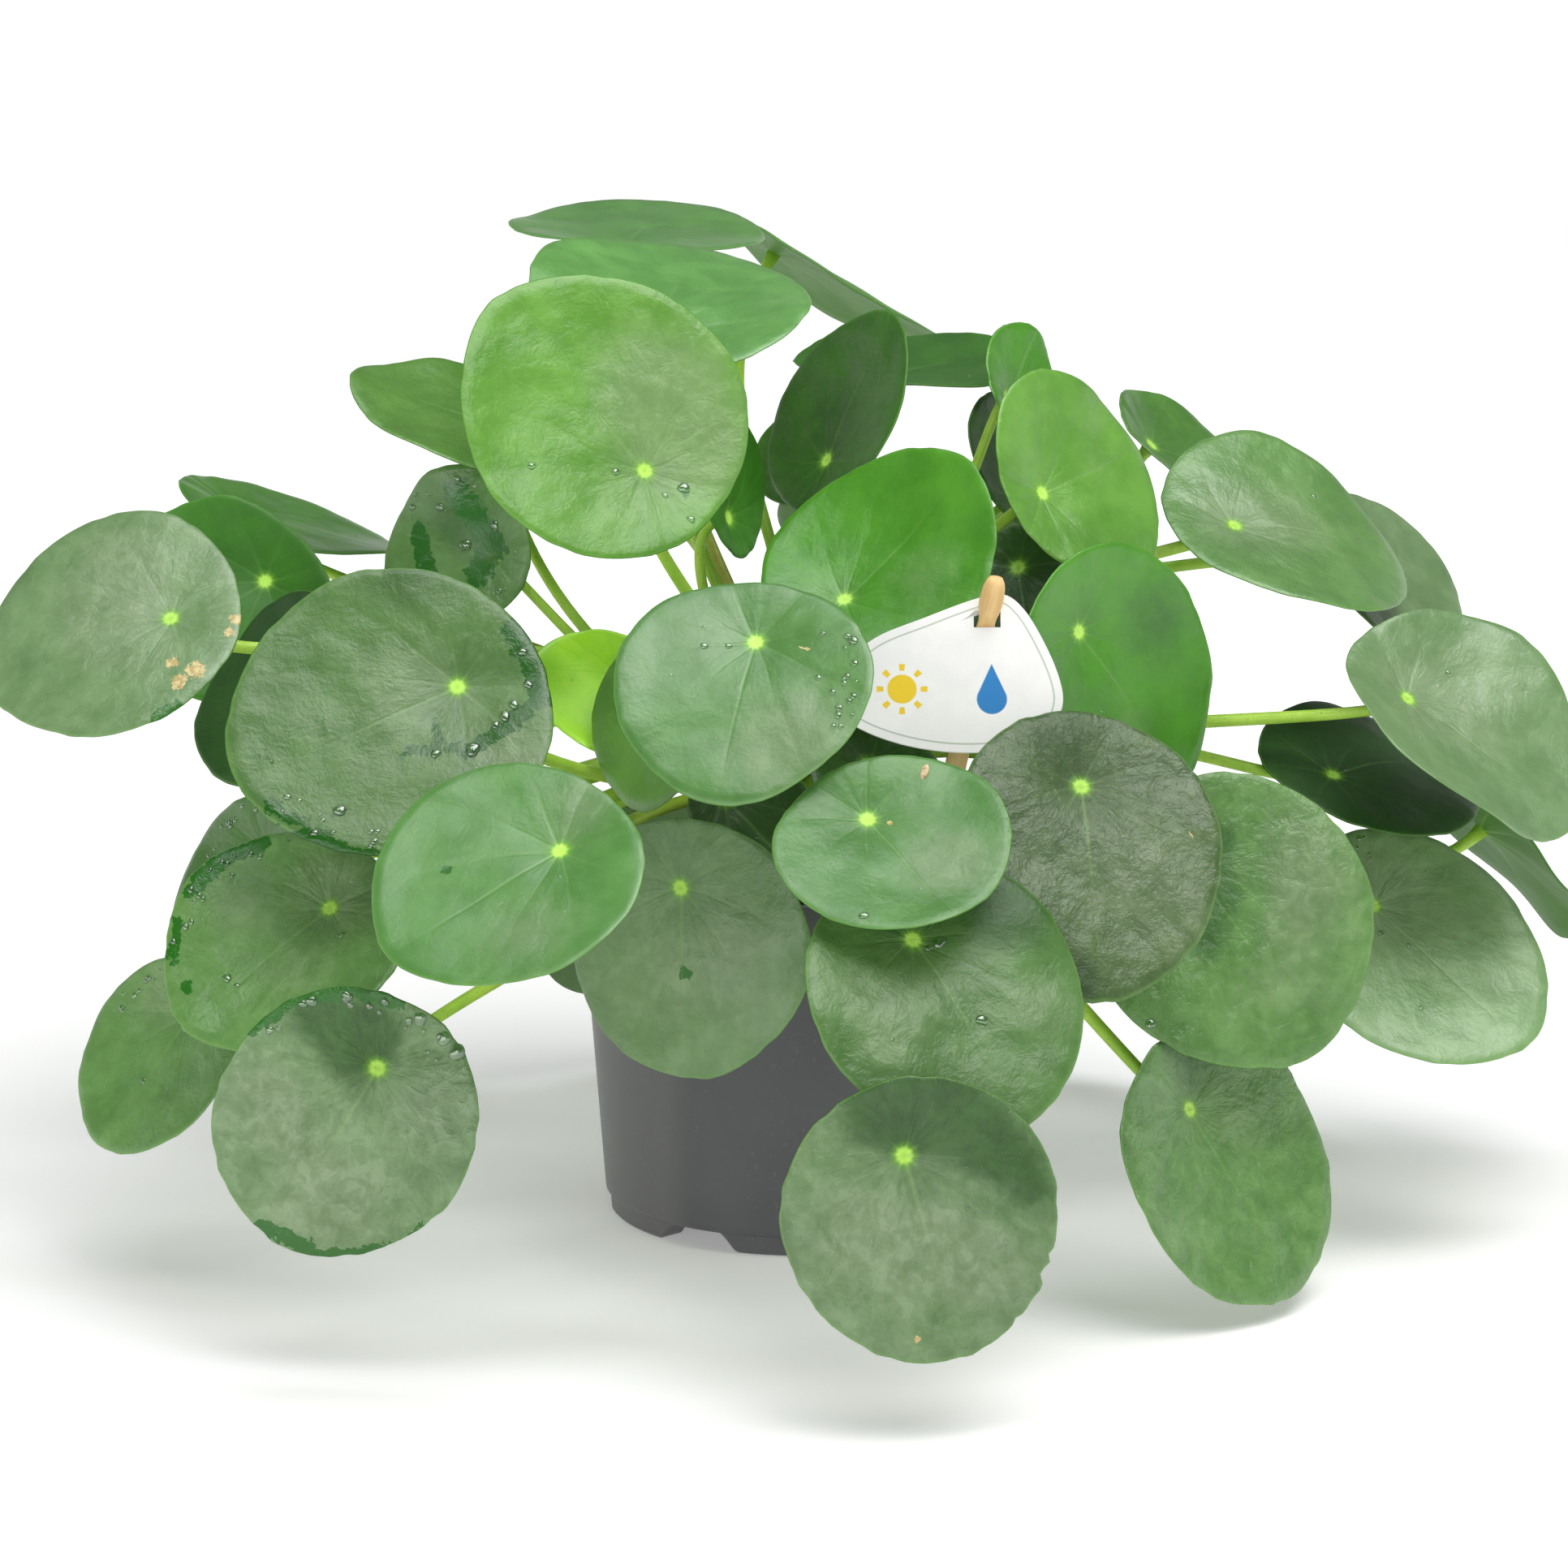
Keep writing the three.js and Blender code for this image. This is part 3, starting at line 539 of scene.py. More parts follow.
def pot_material():
    """Dark grey thermoformed plastic: satin, a little cloudy, with dust and dried water marks."""
    n = new_material("pot_plastic")
    cloud = n.noise(22, 3, 0.5)
    colour = n.mix(n.ramp(cloud, 0.35, 0.7), (0.082, 0.084, 0.090), (0.104, 0.105, 0.110))
    # painted light: the side that faces the light is paler
    lit_side = n.parts(n.place())[0] + (cloud - 0.5) * 0.006
    colour = n.mix(n.ramp(lit_side, -0.033, -0.043, 0, 0.5), colour, (0.17, 0.165, 0.165))
    dust = n.ramp(n.noise(420, 3, 0.7), 0.62, 0.72) * 0.16
    colour = n.mix(dust, colour, (0.30, 0.29, 0.28))
    marks = (1 - n.ramp(abs(n.cells(95) - 0.32), 0.0, 0.03)) * n.ramp(n.noise(30, 1), 0.55, 0.7, 0, 0.07)
    colour = n.mix(marks, colour, (0.28, 0.28, 0.29))
    rough = n.ramp(cloud, 0.3, 0.7, 0.36, 0.44) + dust * 0.8
    return n.set(Base_Color=colour, Roughness=rough, Normal=n.bump(n.noise(2600, 2), 0.00012, 0.5), IOR=1.5)


SUN = {"place": (-21.0, -17.5), "radius": 3.6, "rays": 8, "ray_span": (4.4, 4.7, 6.1, 6.4)}
DROP = {"place": (1.0, -20.0), "radius": 3.7, "shoulder": 1.6, "height": 7.2, "slope": 0.46}


def card_material():
    """White coated card: a thin grey-green line inside its edge, a plain sun with rays and a plain drop."""
    n = new_material("tag_card")
    x, y, inset = n.parts(n.attribute("spot", "Vector"))

    def disc(middle, radius, soft=0.15):
        dx, dy = x - middle[0], y - middle[1]
        gap = n.math("SQRT", dx * dx + dy * dy)
        return gap, n.math("ARCTAN2", dy, dx), 1 - n.ramp(gap, radius - soft, radius + soft)

    paper = n.mix(n.ramp(n.noise(120, 3), 0.4, 0.6), (0.86, 0.86, 0.855), (0.89, 0.89, 0.885))
    line = 1 - n.ramp(abs(inset - 2.2), 0.12, 0.3)
    colour = n.mix(line * 0.55, paper, (0.18, 0.30, 0.16))
    gap, bearing, sun = disc(SUN["place"], SUN["radius"])
    inner, start, stop, outer = SUN["ray_span"]
    rays = n.ramp(n.math("COSINE", bearing * SUN["rays"]), 0.45, 0.65)
    rays = rays * (n.ramp(gap, inner, start) * (1 - n.ramp(gap, stop, outer)))
    colour = n.mix(n.math("MAXIMUM", sun, rays), colour, (0.85, 0.60, 0.03))
    # the drop is a disc under a tapering tip
    belly = disc(DROP["place"], DROP["radius"])[2]
    up = y - (DROP["place"][1] + DROP["shoulder"])
    half = (DROP["height"] - up) * DROP["slope"]
    tip = 1 - n.ramp(abs(x - DROP["place"][0]) - half, -0.15, 0.15)
    tip = tip * (n.ramp(up, -0.1, 0.1) * (1 - n.ramp(up, DROP["height"] - 0.2, DROP["height"])))
    colour = n.mix(n.math("MAXIMUM", belly, tip), colour, (0.03, 0.22, 0.55))
    return n.set(Base_Color=colour, Roughness=0.32, Normal=n.bump(n.noise(1400, 2), 0.00008, 0.4), IOR=1.5)


def wood_material():
    """Orange-tan wood with long grain."""
    n = new_material("tag_wood")
    grain = n.noise(420, 4, 0.6, at=n.attribute("grain", "Vector"))
    colour = n.mix(n.ramp(grain, 0.35, 0.65), (0.84, 0.60, 0.28), (0.68, 0.42, 0.16))
    colour = n.mix(n.ramp(n.noise(70, 2), 0.4, 0.7, 0, 0.4), colour, (0.85, 0.58, 0.27))
    return n.set(Base_Color=colour, Roughness=0.6, Normal=n.bump(grain, 0.0002, 0.6))


def water_material():
    """Clear water with a bright skin, tinted green like the leaf under it."""
    n = new_material("water")
    n.set(Coat_Weight=1.0, Coat_Roughness=0.02, Coat_IOR=2.1, Normal=n.bump(n.noise(900, 1), 0.00005, 0.3))
    return n.set(Base_Color=(0.62, 0.95, 0.50), Roughness=0.02, IOR=1.33, Transmission_Weight=1.0)


def chip_material():
    """Pale bark with brown patches."""
    n = new_material("chip")
    colour = n.mix(n.ramp(n.noise(600, 3), 0.4, 0.6), (0.74, 0.60, 0.38), (0.42, 0.28, 0.13))
    return n.set(Base_Color=colour, Roughness=0.8, Normal=n.bump(n.noise(900, 3), 0.0004, 0.8))


# ------------------------------------------------------------------ leaf blades

# Leaves whose outline departs from the rest, by number: how much further the tip reaches, and nicks in the
# rim as (degrees from the tip, width in degrees, depth as a share of the radius).
TIPS = {18: -0.045, 24: -0.035, 26: -0.03, 29: 0.10, 31: 0.05, 38: -0.04}
NICKS = {26: ((52, 3, 0.05), (60, 2, 0.03), (30, 2, 0.02)), 3: ((150, 5, 0.03),), 13: ((70, 3, 0.02),)}
# How wrinkled some leaves are, where they differ from their tone.
WRINKLES = {
    1: 0.35, 16: 0.85, 17: 0.9, 18: 0.85, 21: 0.15, 23: 0.2, 24: 0.5, 25: 0.45, 26: 1.0, 27: 0.12, 28: 0.4,
    29: 0.5, 36: 0.6, 38: 1.15,
}
# How much lighter or darker some leaves are than their tone.
SHADES = {
    2: 1.25, 3: 1.2, 5: 1.4, 6: 0.75, 8: 1.15, 9: 1.15, 10: 1.2, 11: 1.1, 12: 1.15, 14: 0.78, 15: 1.4,
    16: 1.15, 17: 0.85, 18: 1.1, 19: 1.1, 20: 1.1, 21: 0.8, 22: 1.2, 23: 0.85, 24: 1.05, 25: 1.05, 26: 0.8,
    28: 0.9, 31: 0.8, 32: 1.15, 33: 0.9, 35: 0.85, 36: 1.45, 37: 1.25, 38: 1.05, 39: 1.3,
}
# The tones and the leaves that take the matt skin.
MATT_TONES = ("backlit", "satin", "dark", "deep")
MATT_LEAVES = (1, 16, 17, 23, 24, 25, 26, 28, 36, 38)
RIM_ROUND = 0.28  # how far the rim bulges past the two faces
RIM_RIPPLES = ((5, 0.005), (9, 0.0035))  # bumps round the rim and their share of the radius
RIM_TEETH = ((17, 0.0012), (26, 0.0011), (35, 0.0008))  # finer ones, which grow with the wrinkles


def leaf_axes(row):
    """The way that a blade faces, the way to its tip, and the way across."""
    heading, lift, roll = row[3:6]
    normal = direction(heading, lift)
    tip = turned(direction(heading, lift - 90), normal, roll)
    return normal, tip, np.cross(normal, tip)


def blade_height(row, index, along, side):
    """The rise of a blade's cup or dome, waves and dimple, at shares of its half length and half width."""
    ends, sides, wave = row[8:11]
    phase = math.radians(GOLDEN_ANGLE * index)
    ripple = np.hypot(along, side) ** 3 * np.sin((3 + index % 3) * np.arctan2(side, along) + phase)
    hub = np.hypot(along + BLADE["hub"], side) / BLADE["dimple_width"]
    return ends * along**2 + sides * side**2 + wave * ripple - BLADE["dimple"] * np.exp(-(hub**2))


def blade_points(row, index, angles, shares, fine=1.0):
    """Points of a blade's upper face, and their place on it in millimetres from the hub."""
    normal, tip, across = leaf_axes(row)
    length, width = row[6:8]
    shares = shares[:, None]
    seed = 1.7 * index
    ragged = 1 + 2 * min(1, WRINKLES.get(index + 1, 0.3))
    edge = np.ones_like(angles)
    for k, size in RIM_RIPPLES + tuple((k, size * ragged) for k, size in RIM_TEETH):
        edge += fine * size * np.sin(k * (angles + seed))
    for at, wide, deep in NICKS.get(index + 1, ()):
        off = (np.degrees(angles) - at + 180) % 360 - 180
        edge -= deep * np.exp(-((off / wide) ** 2))
    cos, sin = np.cos(angles), np.sin(angles)
    point = BLADE["point"] + TIPS.get(index + 1, 0.0)
    along = shares * ((cos + point * np.maximum(0, cos) ** 9) * edge + BLADE["hub"]) - BLADE["hub"]
    side = shares * sin * (1 - BLADE["egg"] * cos) * edge
    height = blade_height(row, index, along, side) - blade_height(row, index, -BLADE["hub"], 0.0)
    # slow swells between the veins, and a rim that turns down a little
    p, q = (along + BLADE["hub"]) * length / 2, side * width / 2
    swell = np.cos(np.arctan2(q, p) * 10.5) * np.minimum(shares, 0.8) ** 1.5
    rolling = np.sin(0.23 * p + seed) * np.cos(0.19 * q - seed) * shares
    curl = (np.maximum(0, shares - 0.88) / 0.12) ** 2
    height += fine * (0.16 * swell + 0.22 * rolling - 0.3 * curl)
    return np.array(row[:3]) + p[..., None] * tip + q[..., None] * across + height[..., None] * normal, p, q


def blade_mesh(row, index, sectors=120, rings=20, thickness=0.8, fine=1.0):
    """A closed blade with a rounded rim: points, faces, the points' places on the blade, and which of them
    belong to the upper side (1) and to the lower (0)."""
    normal = leaf_axes(row)[0]
    angles = circle(sectors)
    upper_shares = np.linspace(0, 1, rings + 1)[1:] ** 1.15
    lower_shares = np.linspace(0, 1, 11)[1:]
    upper, up_p, up_q = blade_points(row, index, angles, upper_shares, fine)
    lower, low_p, low_q = blade_points(row, index, angles, lower_shares, fine)
    lower = lower - (thickness * (1 - 0.4 * lower_shares**6))[:, None, None] * normal
    rim = (upper[-1] + lower[-1]) / 2 + RIM_ROUND * unit(upper[-1] - upper[-2])
    top = blade_points(row, index, angles, np.zeros(1), fine)[0][0, 0]

    # from the underside out to the rim and back over the upper side; the two middles come last
    def rounds(low, edge, high, ends):
        return np.concatenate([*low, edge, *high[::-1], ends])

    points = rounds(lower, rim, upper, [top - thickness * normal, top])
    p, q = rounds(low_p, up_p[-1], up_p, [0.0, 0.0]), rounds(low_q, up_q[-1], up_q, [0.0, 0.0])
    shares = np.concatenate([lower_shares, [1.0], upper_shares[::-1]])
    share = np.concatenate([np.repeat(shares, sectors), [0.0, 0.0]])
    face = np.repeat([0.0, 1.0], [len(lower_shares) * sectors, (len(upper_shares) + 1) * sectors])
    count = len(shares)
    faces = loft_faces(count, sectors, closed_ends=False)
    below, above, last = count * sectors, count * sectors + 1, (count - 1) * sectors
    for i in range(sectors):
        n = (i + 1) % sectors
        faces += [(below, n, i), (above, last + i, last + n)]
    return points, faces, np.stack([p, q, share], 1), np.concatenate([face, [0.0, 1.0]])


# Marks on blades, by the leaf's number. Each lies at shares of the leaf's radius to the right and uphill of
# the blade's middle, as seen from outside.
# Wet strokes: radius in mm, and places along the stroke.
WET = {
    28: (
        (3.4, ((0.76, 0.58), (0.88, 0.34), (0.95, 0.1))),
        (2.4, ((0.92, 0.08), (0.7, -0.1), (0.48, -0.26))),
        (1.5, ((0.48, -0.26), (0.3, -0.22), (0.08, -0.26))), (1.1, ((0.3, -0.22), (0.26, -0.04))),
        (1.6, ((-0.8, -0.22), (-0.76, -0.34))),
        (2.2, ((-0.74, -0.62), (-0.52, -0.8), (-0.25, -0.94), (0.05, -0.98))),
        (1.1, ((-0.34, -0.62), (-0.32, -0.68))),
    ),
    32: ((4.0, ((-0.1, 0.7), (0.2, 0.4), (0.5, 0.1), (0.3, -0.3))), (3.0, ((-0.6, 0.2), (-0.3, -0.5)))),
    36: (
        (2.4, ((-0.4, 0.88), (-0.66, 0.7), (-0.88, 0.36))), (1.6, ((-0.94, 0.1), (-0.92, -0.25))),
        (1.2, ((-0.73, -0.44), (-0.68, -0.5))),
    ),
    38: (
        (2.0, ((-0.62, 0.72), (-0.3, 0.92), (0.1, 0.97), (0.4, 0.88))),
        (2.0, ((-0.62, -0.76), (-0.2, -0.96), (0.3, -0.93), (0.62, -0.76))),
    ),
    1: ((1.0, ((0.52, -0.5), (0.52, -0.58))),),
    24: ((1.4, ((0.0, -0.17), (0.06, -0.18))),),
    27: ((1.1, ((-0.5, 0.05), (-0.47, 0.07))),),
    29: ((1.8, ((0.75, -0.72), (0.62, -0.82))),),
    15: ((1.6, ((-0.7, 0.66), (-0.45, 0.86))),),
}
# Dry spots: right, uphill, radius in mm.
SCORCH = {
    29: ((0.97, 0.16, 2.4), (0.95, 0.02, 2.0), (0.8, -0.37, 3.6), (0.7, -0.5, 3.0), (0.6, -0.32, 2.4)),
    21: ((0.5, 0.36, 0.9), (0.44, 0.38, 0.6)),
    26: ((-0.05, -0.82, 1.6),),
    23: ((-0.02, 0.34, 0.9),),
    17: ((0.7, 0.05, 0.7),),
}
# Painted shade (below zero) and painted sheen (above zero), as darker and as paler, greyer patches: right,
# uphill, radius in mm, strength.
PAINTED_SHEEN_AND_SHADE = {
    1: ((0.45, 0.15, 20, 1.0), (0.65, -0.3, 12, 0.7), (-0.5, 0.3, 14, -0.2), (0.1, -0.6, 14, 0.3)),
    2: ((0.7, -0.2, 14, 0.3),),
    5: ((-0.1, 0.0, 14, -0.5),),
    8: ((0.4, 0.1, 14, 0.3), (0.5, -0.6, 12, -0.4)),
    10: ((-0.4, 0.2, 20, 0.8), (0.2, 0.0, 14, 0.4), (0.5, -0.5, 10, -0.3)),
    11: ((0.0, 0.0, 20, 0.5),),
    12: ((0.0, 0.3, 24, 0.7), (-0.8, 0.3, 8, -0.5)),
    15: ((-0.1, 0.3, 24, 0.8), (0.5, -0.5, 14, -0.3)),
    16: (
        (-0.05, 0.55, 9, -1.0), (0.0, 0.15, 8, -1.0), (-0.15, -0.15, 7, -0.9), (-0.4, -0.6, 10, -0.3),
        (0.45, 0.35, 18, 0.8), (0.3, -0.4, 22, 0.4),
    ),
    17: ((-0.1, 0.75, 14, -0.6), (0.35, -0.3, 18, 0.6), (-0.5, -0.2, 14, 0.3), (-0.2, -0.9, 9, -0.8)),
    18: ((0.1, 0.8, 12, -0.7), (0.3, 0.3, 12, 0.4), (-0.3, -0.4, 14, -0.2)),
    19: ((0.5, 0.4, 14, -0.6), (0.1, -0.5, 12, 0.5)),
    20: ((0.4, -0.1, 13, 0.5), (-0.1, 0.6, 16, -0.2)),
    21: ((0.45, -0.5, 17, 0.9), (-0.2, 0.5, 18, -0.2)),
    23: ((0.5, -0.2, 12, 1.0), (-0.4, 0.3, 14, -0.2)),
    24: ((0.5, 0.1, 14, 0.8), (-0.1, -0.3, 14, 0.5), (-0.3, 0.7, 12, -0.2)),
    25: ((0.55, 0.55, 13, -1.0), (-0.3, 0.7, 12, -0.6), (-0.5, -0.1, 16, 0.5), (0.6, -0.1, 10, 0.6)),
    26: (
        (-0.3, 0.75, 12, -1.0), (0.15, 0.75, 12, -1.0), (0.55, 0.4, 11, -1.0), (0.78, 0.1, 8, -0.7),
        (-0.45, 0.0, 16, 0.8), (0.35, -0.15, 14, 1.0), (0.6, -0.4, 10, 0.5), (-0.2, -0.6, 14, 0.2),
    ),
    27: ((0.4, 0.7, 10, 0.8), (0.3, -0.5, 14, 0.7)),
    28: (
        (0.1, 0.2, 18, 0.6), (0.75, -0.35, 11, 0.9), (0.1, 0.9, 14, -0.6), (-0.7, 0.2, 14, -0.4),
        (-0.2, -0.7, 16, -0.3),
    ),
    29: (
        (0.0, 0.5, 14, 1.0), (-0.6, -0.3, 10, -0.5), (0.2, -0.75, 9, -0.6), (0.6, 0.6, 8, -0.5),
        (-0.2, 0.0, 14, 0.6), (0.3, -0.4, 14, 0.5),
    ),
    30: ((-0.1, 0.4, 16, -0.4),),
    32: ((0.0, 0.3, 14, -0.8), (-0.3, -0.5, 10, 0.6)),
    36: ((0.3, 0.6, 12, 0.9), (-0.5, 0.3, 10, 0.5), (0.1, -0.2, 12, 0.6), (-0.1, 0.1, 10, -0.3)),
    37: ((-0.3, 0.6, 12, 0.7), (0.2, -0.3, 12, -0.1)),
    38: (
        (-0.15, 0.75, 10, -1.0), (0.25, 0.65, 9, -1.0), (0.05, 0.35, 9, -0.6), (-0.5, 0.2, 14, 0.9),
        (-0.1, -0.55, 16, 1.0), (0.6, 0.2, 12, 0.7), (0.1, 0.0, 8, -0.4),
    ),
}
SOFT_EDGE = 1.35  # a mark is full up to 0.35 of its radius, and gone at this many radii


def mark_place(row, right, up):
    """A mark's place in millimetres from the hub, towards the tip and across."""
    normal, tip, across = leaf_axes(row)
    uphill = unit(np.array([0, 0, 1.0]) - normal * normal[2])
    reach = row[6] / 2
    step = reach * (right * np.cross(uphill, normal) + up * uphill)
    return np.array([step @ tip + BLADE["hub"] * reach, step @ across])


def strongest(levels, count):
    """The strongest of several marks at each point, 0 to 1."""
    return np.clip(np.max([np.zeros(count), *levels], axis=0), 0, 1)


def scorched(leaf, spots, row):
    """How dry and brown each point is."""
    marks = [(mark_place(row, right, up), size) for right, up, size in SCORCH.get(leaf, ())]
    levels = [SOFT_EDGE - np.linalg.norm(spots[:, :2] - at, axis=1) / size for at, size in marks]
    return strongest(levels, len(spots))


def soaked(leaf, spots, row):
    """How wet each point is."""
    levels = []
    for size, places in WET.get(leaf, ()):
        line = [mark_place(row, *place) for place in places]
        for a, b in zip(line[:-1], line[1:]):
            along = np.clip((spots[:, :2] - a) @ (b - a) / ((b - a) @ (b - a)), 0, 1)
            gap = np.linalg.norm(spots[:, :2] - a - along[:, None] * (b - a), axis=1)
            levels.append(SOFT_EDGE - gap / size)
    return strongest(levels, len(spots))


def bloomed(leaf, spots, row):
    """How much painted sheen (1) or painted shade (-1) each point holds."""
    level = np.zeros(len(spots))
    for right, up, size, strength in PAINTED_SHEEN_AND_SHADE.get(leaf, ()):
        gap = np.linalg.norm(spots[:, :2] - mark_place(row, right, up), axis=1)
        level += strength * np.exp(-((gap / size) ** 2))
    return np.clip(level, -1, 1)


def build_leaves(glossy, matted):
    for index, row in enumerate(LEAVES):
        leaf, tone = index + 1, LEAF_TONES[index]
        colour, wrinkle, matt = TONES[tone]
        # no two leaves of a tone are quite alike
        shade = SHADES.get(leaf, 1.0) * (1 + 0.10 * math.sin(2.3 * index))
        points, faces, spots, face = blade_mesh(row, index)
        looks = {
            "spot": spots,
            "face": face,
            "wet": soaked(leaf, spots, row) * face,
            "scorch": scorched(leaf, spots, row),
            # painted sheen (above zero) and painted shade (below zero)
            "bloom": bloomed(leaf, spots, row),
            "wrinkle": WRINKLES.get(leaf, wrinkle),
            "matt": matt,
            "tone": np.array(colour) * shade,
        }
        skin = matted if tone in MATT_TONES or leaf in MATT_LEAVES else glossy
        node = f"leaf_{leaf:02d}"
        make_piece(node + "_blade", points, faces, skin, [node], "leaf", looks)


# ------------------------------------------------------------------ trunk, stalks and crown


def trunk_point(z):
    """The point of the slightly bowed trunk's middle line at a height."""
    u = (z - TRUNK["root"]) / (TRUNK["top"] - TRUNK["root"])
    root, top = np.array([0, 0, TRUNK["root"]]), np.array([0, 0, TRUNK["top"]])
    middle = (root + top) / 2 + [TRUNK["lean"], -TRUNK["lean"] / 2, 0]
    return (1 - u) ** 2 * root + 2 * u * (1 - u) * middle + u * u * top


def stalk_path(row, steps):
    """From a seat on the trunk, higher for higher leaves, in an arch to the underside of the blade's hub."""
    x, y, z = row[:3]
    rise, swing, reach = row[11:14]
    normal = leaf_axes(row)[0]
    heading = math.degrees(math.atan2(y, x)) + swing
    foot = STALK["lowest"] + STALK["climb"] * max(0, z - STALK["climb_from"])
    start = trunk_point(foot) + STALK["seat"] * direction(heading, 0)
    end = np.array([x, y, z]) - 0.45 * normal
    span = np.linalg.norm(end - start)
    arch = STALK["start_share"] + STALK["arch_share"] * max(0, 1 - z / STALK["arch_below"])
    one, two = start + arch * span * direction(heading, rise), end - reach / 100 * span * normal
    return curve(start, one, two, end, steps)


def build_stalks(material):
    skin = Skin()
    steps, sides = 36, 12
    u = np.linspace(0, 1, steps)
    for index, row in enumerate(LEAVES):
        # larger leaves have thicker stalks, and each widens at its seat and under its blade
        size = 0.75 + 0.25 * (row[6] / 70)
        radii = STALK["radius"] * size * (0.80 + 0.45 * np.exp(-u / 0.05) + 0.14 * (1 - u))
        radii = radii * (1 + 0.05 * np.sin(7 * u + index)) + 0.7 * np.exp(-(1 - u) / 0.02)
        blush = (0.0, 0.1, 0.7, 0.1, 0.0, 0.3, 0.1)[index % 7]
        skin.add(*tube(stalk_path(row, steps), radii, sides), rise=np.repeat(u, sides), blush=blush)
    skin.piece("stalks", material, ["stems"], "stem")


SCARS = {"count": 16, "lowest": 88.0, "step": 2.9}


def build_trunk(material):
    skin = Skin()
    steps, sides = 60, 24
    heights = np.linspace(TRUNK["root"] + 1, TRUNK["top"] + 5, steps)
    path = [trunk_point(min(z, TRUNK["top"])) + [0, 0, max(0, z - TRUNK["top"])] for z in heights]
    u = np.linspace(0, 1, steps)
    radii = TRUNK["radius"] * (1 + 0.05 * np.sin(40 * u) + 0.03 * np.sin(93 * u))
    radii[-6:] *= np.sqrt(1 - np.linspace(0, 0.96, 6) ** 2)  # a rounded top
    skin.add(*tube(path, radii, sides), rise=np.repeat(u, sides))
    # leaf scars: shallow knobs where old stalks fell
    for k in range(SCARS["count"]):
        z = SCARS["lowest"] + SCARS["step"] * k
        out = direction(GOLDEN_ANGLE * k, 0)
        centre = trunk_point(z) + out * (TRUNK["radius"] - 0.6)
        knob = tube([centre + step * out for step in (-0.5, 0.7, 1.1)], [2.4, 2.0, 0.9], 10, 0.7)
        skin.add(*knob, rise=(z - TRUNK["root"]) / 80)
    skin.piece("trunk", material, ["stems"], "stem")


def build_crown(leaf, stalk):
    """The young leaves on top of the trunk, each on a short stalk."""
    blades, stems = Skin(), Skin()
    # the young leaves take the fresh tone, lightened by painted light shining through
    colour, wrinkle, matt = TONES["fresh"]
    u = np.linspace(0, 1, 10)
    seat = trunk_point(TRUNK["top"] - 6)
    for index, (heading, lean, length) in enumerate(YOUNG_LEAVES):
        hub = trunk_point(TRUNK["top"]) + 16 * direction(heading, 90 - lean)
        row = (*hub, heading + 180, lean, 180, length, 0.7 * length, 2, 4, 0)
        points, faces, spots, face = blade_mesh(row, index, 40, 10, 0.7, 0.3)
        blades.add(points, faces, spot=spots, face=face, wet=0, scorch=0, bloom=0, wrinkle=wrinkle, matt=matt,
                   tone=colour)
        stem = tube(seat + u[:, None] * (hub - seat), 1.2 - 0.3 * u, 10)
        stems.add(*stem, rise=0.6 + 0.4 * np.repeat(u, 10), blush=0)
    blades.piece("young_leaves", leaf, ["stems"], "stem")
    stems.piece("young_stalks", stalk, ["stems"], "stem")


# ------------------------------------------------------------------ soil


def pot_inner_radius(z):
    """The inside of the tapered wall."""
    share = (z - POT["body_bottom"]) / (POT["height"] - POT["rim_height"] - POT["body_bottom"])
    return POT["bottom_radius"] - POT["wall"] + share * (POT["top_radius"] - POT["bottom_radius"])


CRUMBS = 900


def soil_height(x, y):
    """The soil's broad and fine relief, without its lumps."""
    broad = np.sin(0.11 * x + 1) * np.sin(0.13 * y + 2)
    fine = np.sin(0.37 * x + 0.21 * y) * np.cos(0.33 * y - 0.17 * x + 1)
    return SOIL_TOP + SOIL_RELIEF * 0.6 * (broad + fine)


def build_soil(material):
    """A bed of soil with a bumpy top, and crumbs that lie on it."""
    random = np.random.default_rng(11)
    sectors, rings = 120, 34
    edge = pot_inner_radius(SOIL_TOP) - 0.3
    cos, sin = np.cos(circle(sectors)), np.sin(circle(sectors))
    rows = []
    for r in edge * np.linspace(0, 1, rings + 1)[1:]:
        x, y = r * cos, r * sin
        lumps = 0.35 * np.sin(1.3 * x + 0.7 * y) * np.sin(1.1 * y - 0.6 * x) + random.normal(0, 0.22, sectors)
        rows.append(np.stack([x, y, soil_height(x, y) + lumps], 1))
    low = np.stack([edge * cos, edge * sin, np.full(sectors, SOIL_TOP - 12)], 1)
    points = np.concatenate([low, *rows[::-1], [[0, 0, SOIL_TOP]]])
    faces = loft_faces(rings + 1, sectors, closed_ends=False)
    last = (rings + 1) * sectors
    faces += [(last, rings * sectors + i, rings * sectors + (i + 1) % sectors) for i in range(sectors)]
    faces.append(tuple(reversed(range(sectors))))
    make_piece("soil_bed", points, faces, material, ["soil"], "soil")

    # crumbs: uneven double pyramids, turned at random
    skin = Skin()
    corners = np.array([[1, 0, 0], [0, 1, 0], [-1, 0, 0], [0, -1, 0], [0, 0, 1], [0, 0, -1]], float)
    sides = [(0, 1, 4), (1, 2, 4), (2, 3, 4), (3, 0, 4), (1, 0, 5), (2, 1, 5), (3, 2, 5), (0, 3, 5)]
    for _ in range(CRUMBS):
        r, a = (edge - 3) * math.sqrt(random.random()), 2 * math.pi * random.random()
        size = 0.5 + 1.3 * random.random() ** 3
        if r < TRUNK["radius"] + 2:
            continue
        x, y = r * math.cos(a), r * math.sin(a)
        lump = corners * size * random.uniform(0.6, 1.2, (6, 3))
        spin = 2 * math.pi * random.random()
        c, s = math.cos(spin), math.sin(spin)
        lump = lump @ np.array([[c, s, 0], [-s, c, 0], [0, 0, 1]])
        skin.add(lump + [x, y, soil_height(x, y) + 0.3 * size], sides)
    skin.piece("soil_crumbs", material, ["soil"], "soil")


# ------------------------------------------------------------------ pot


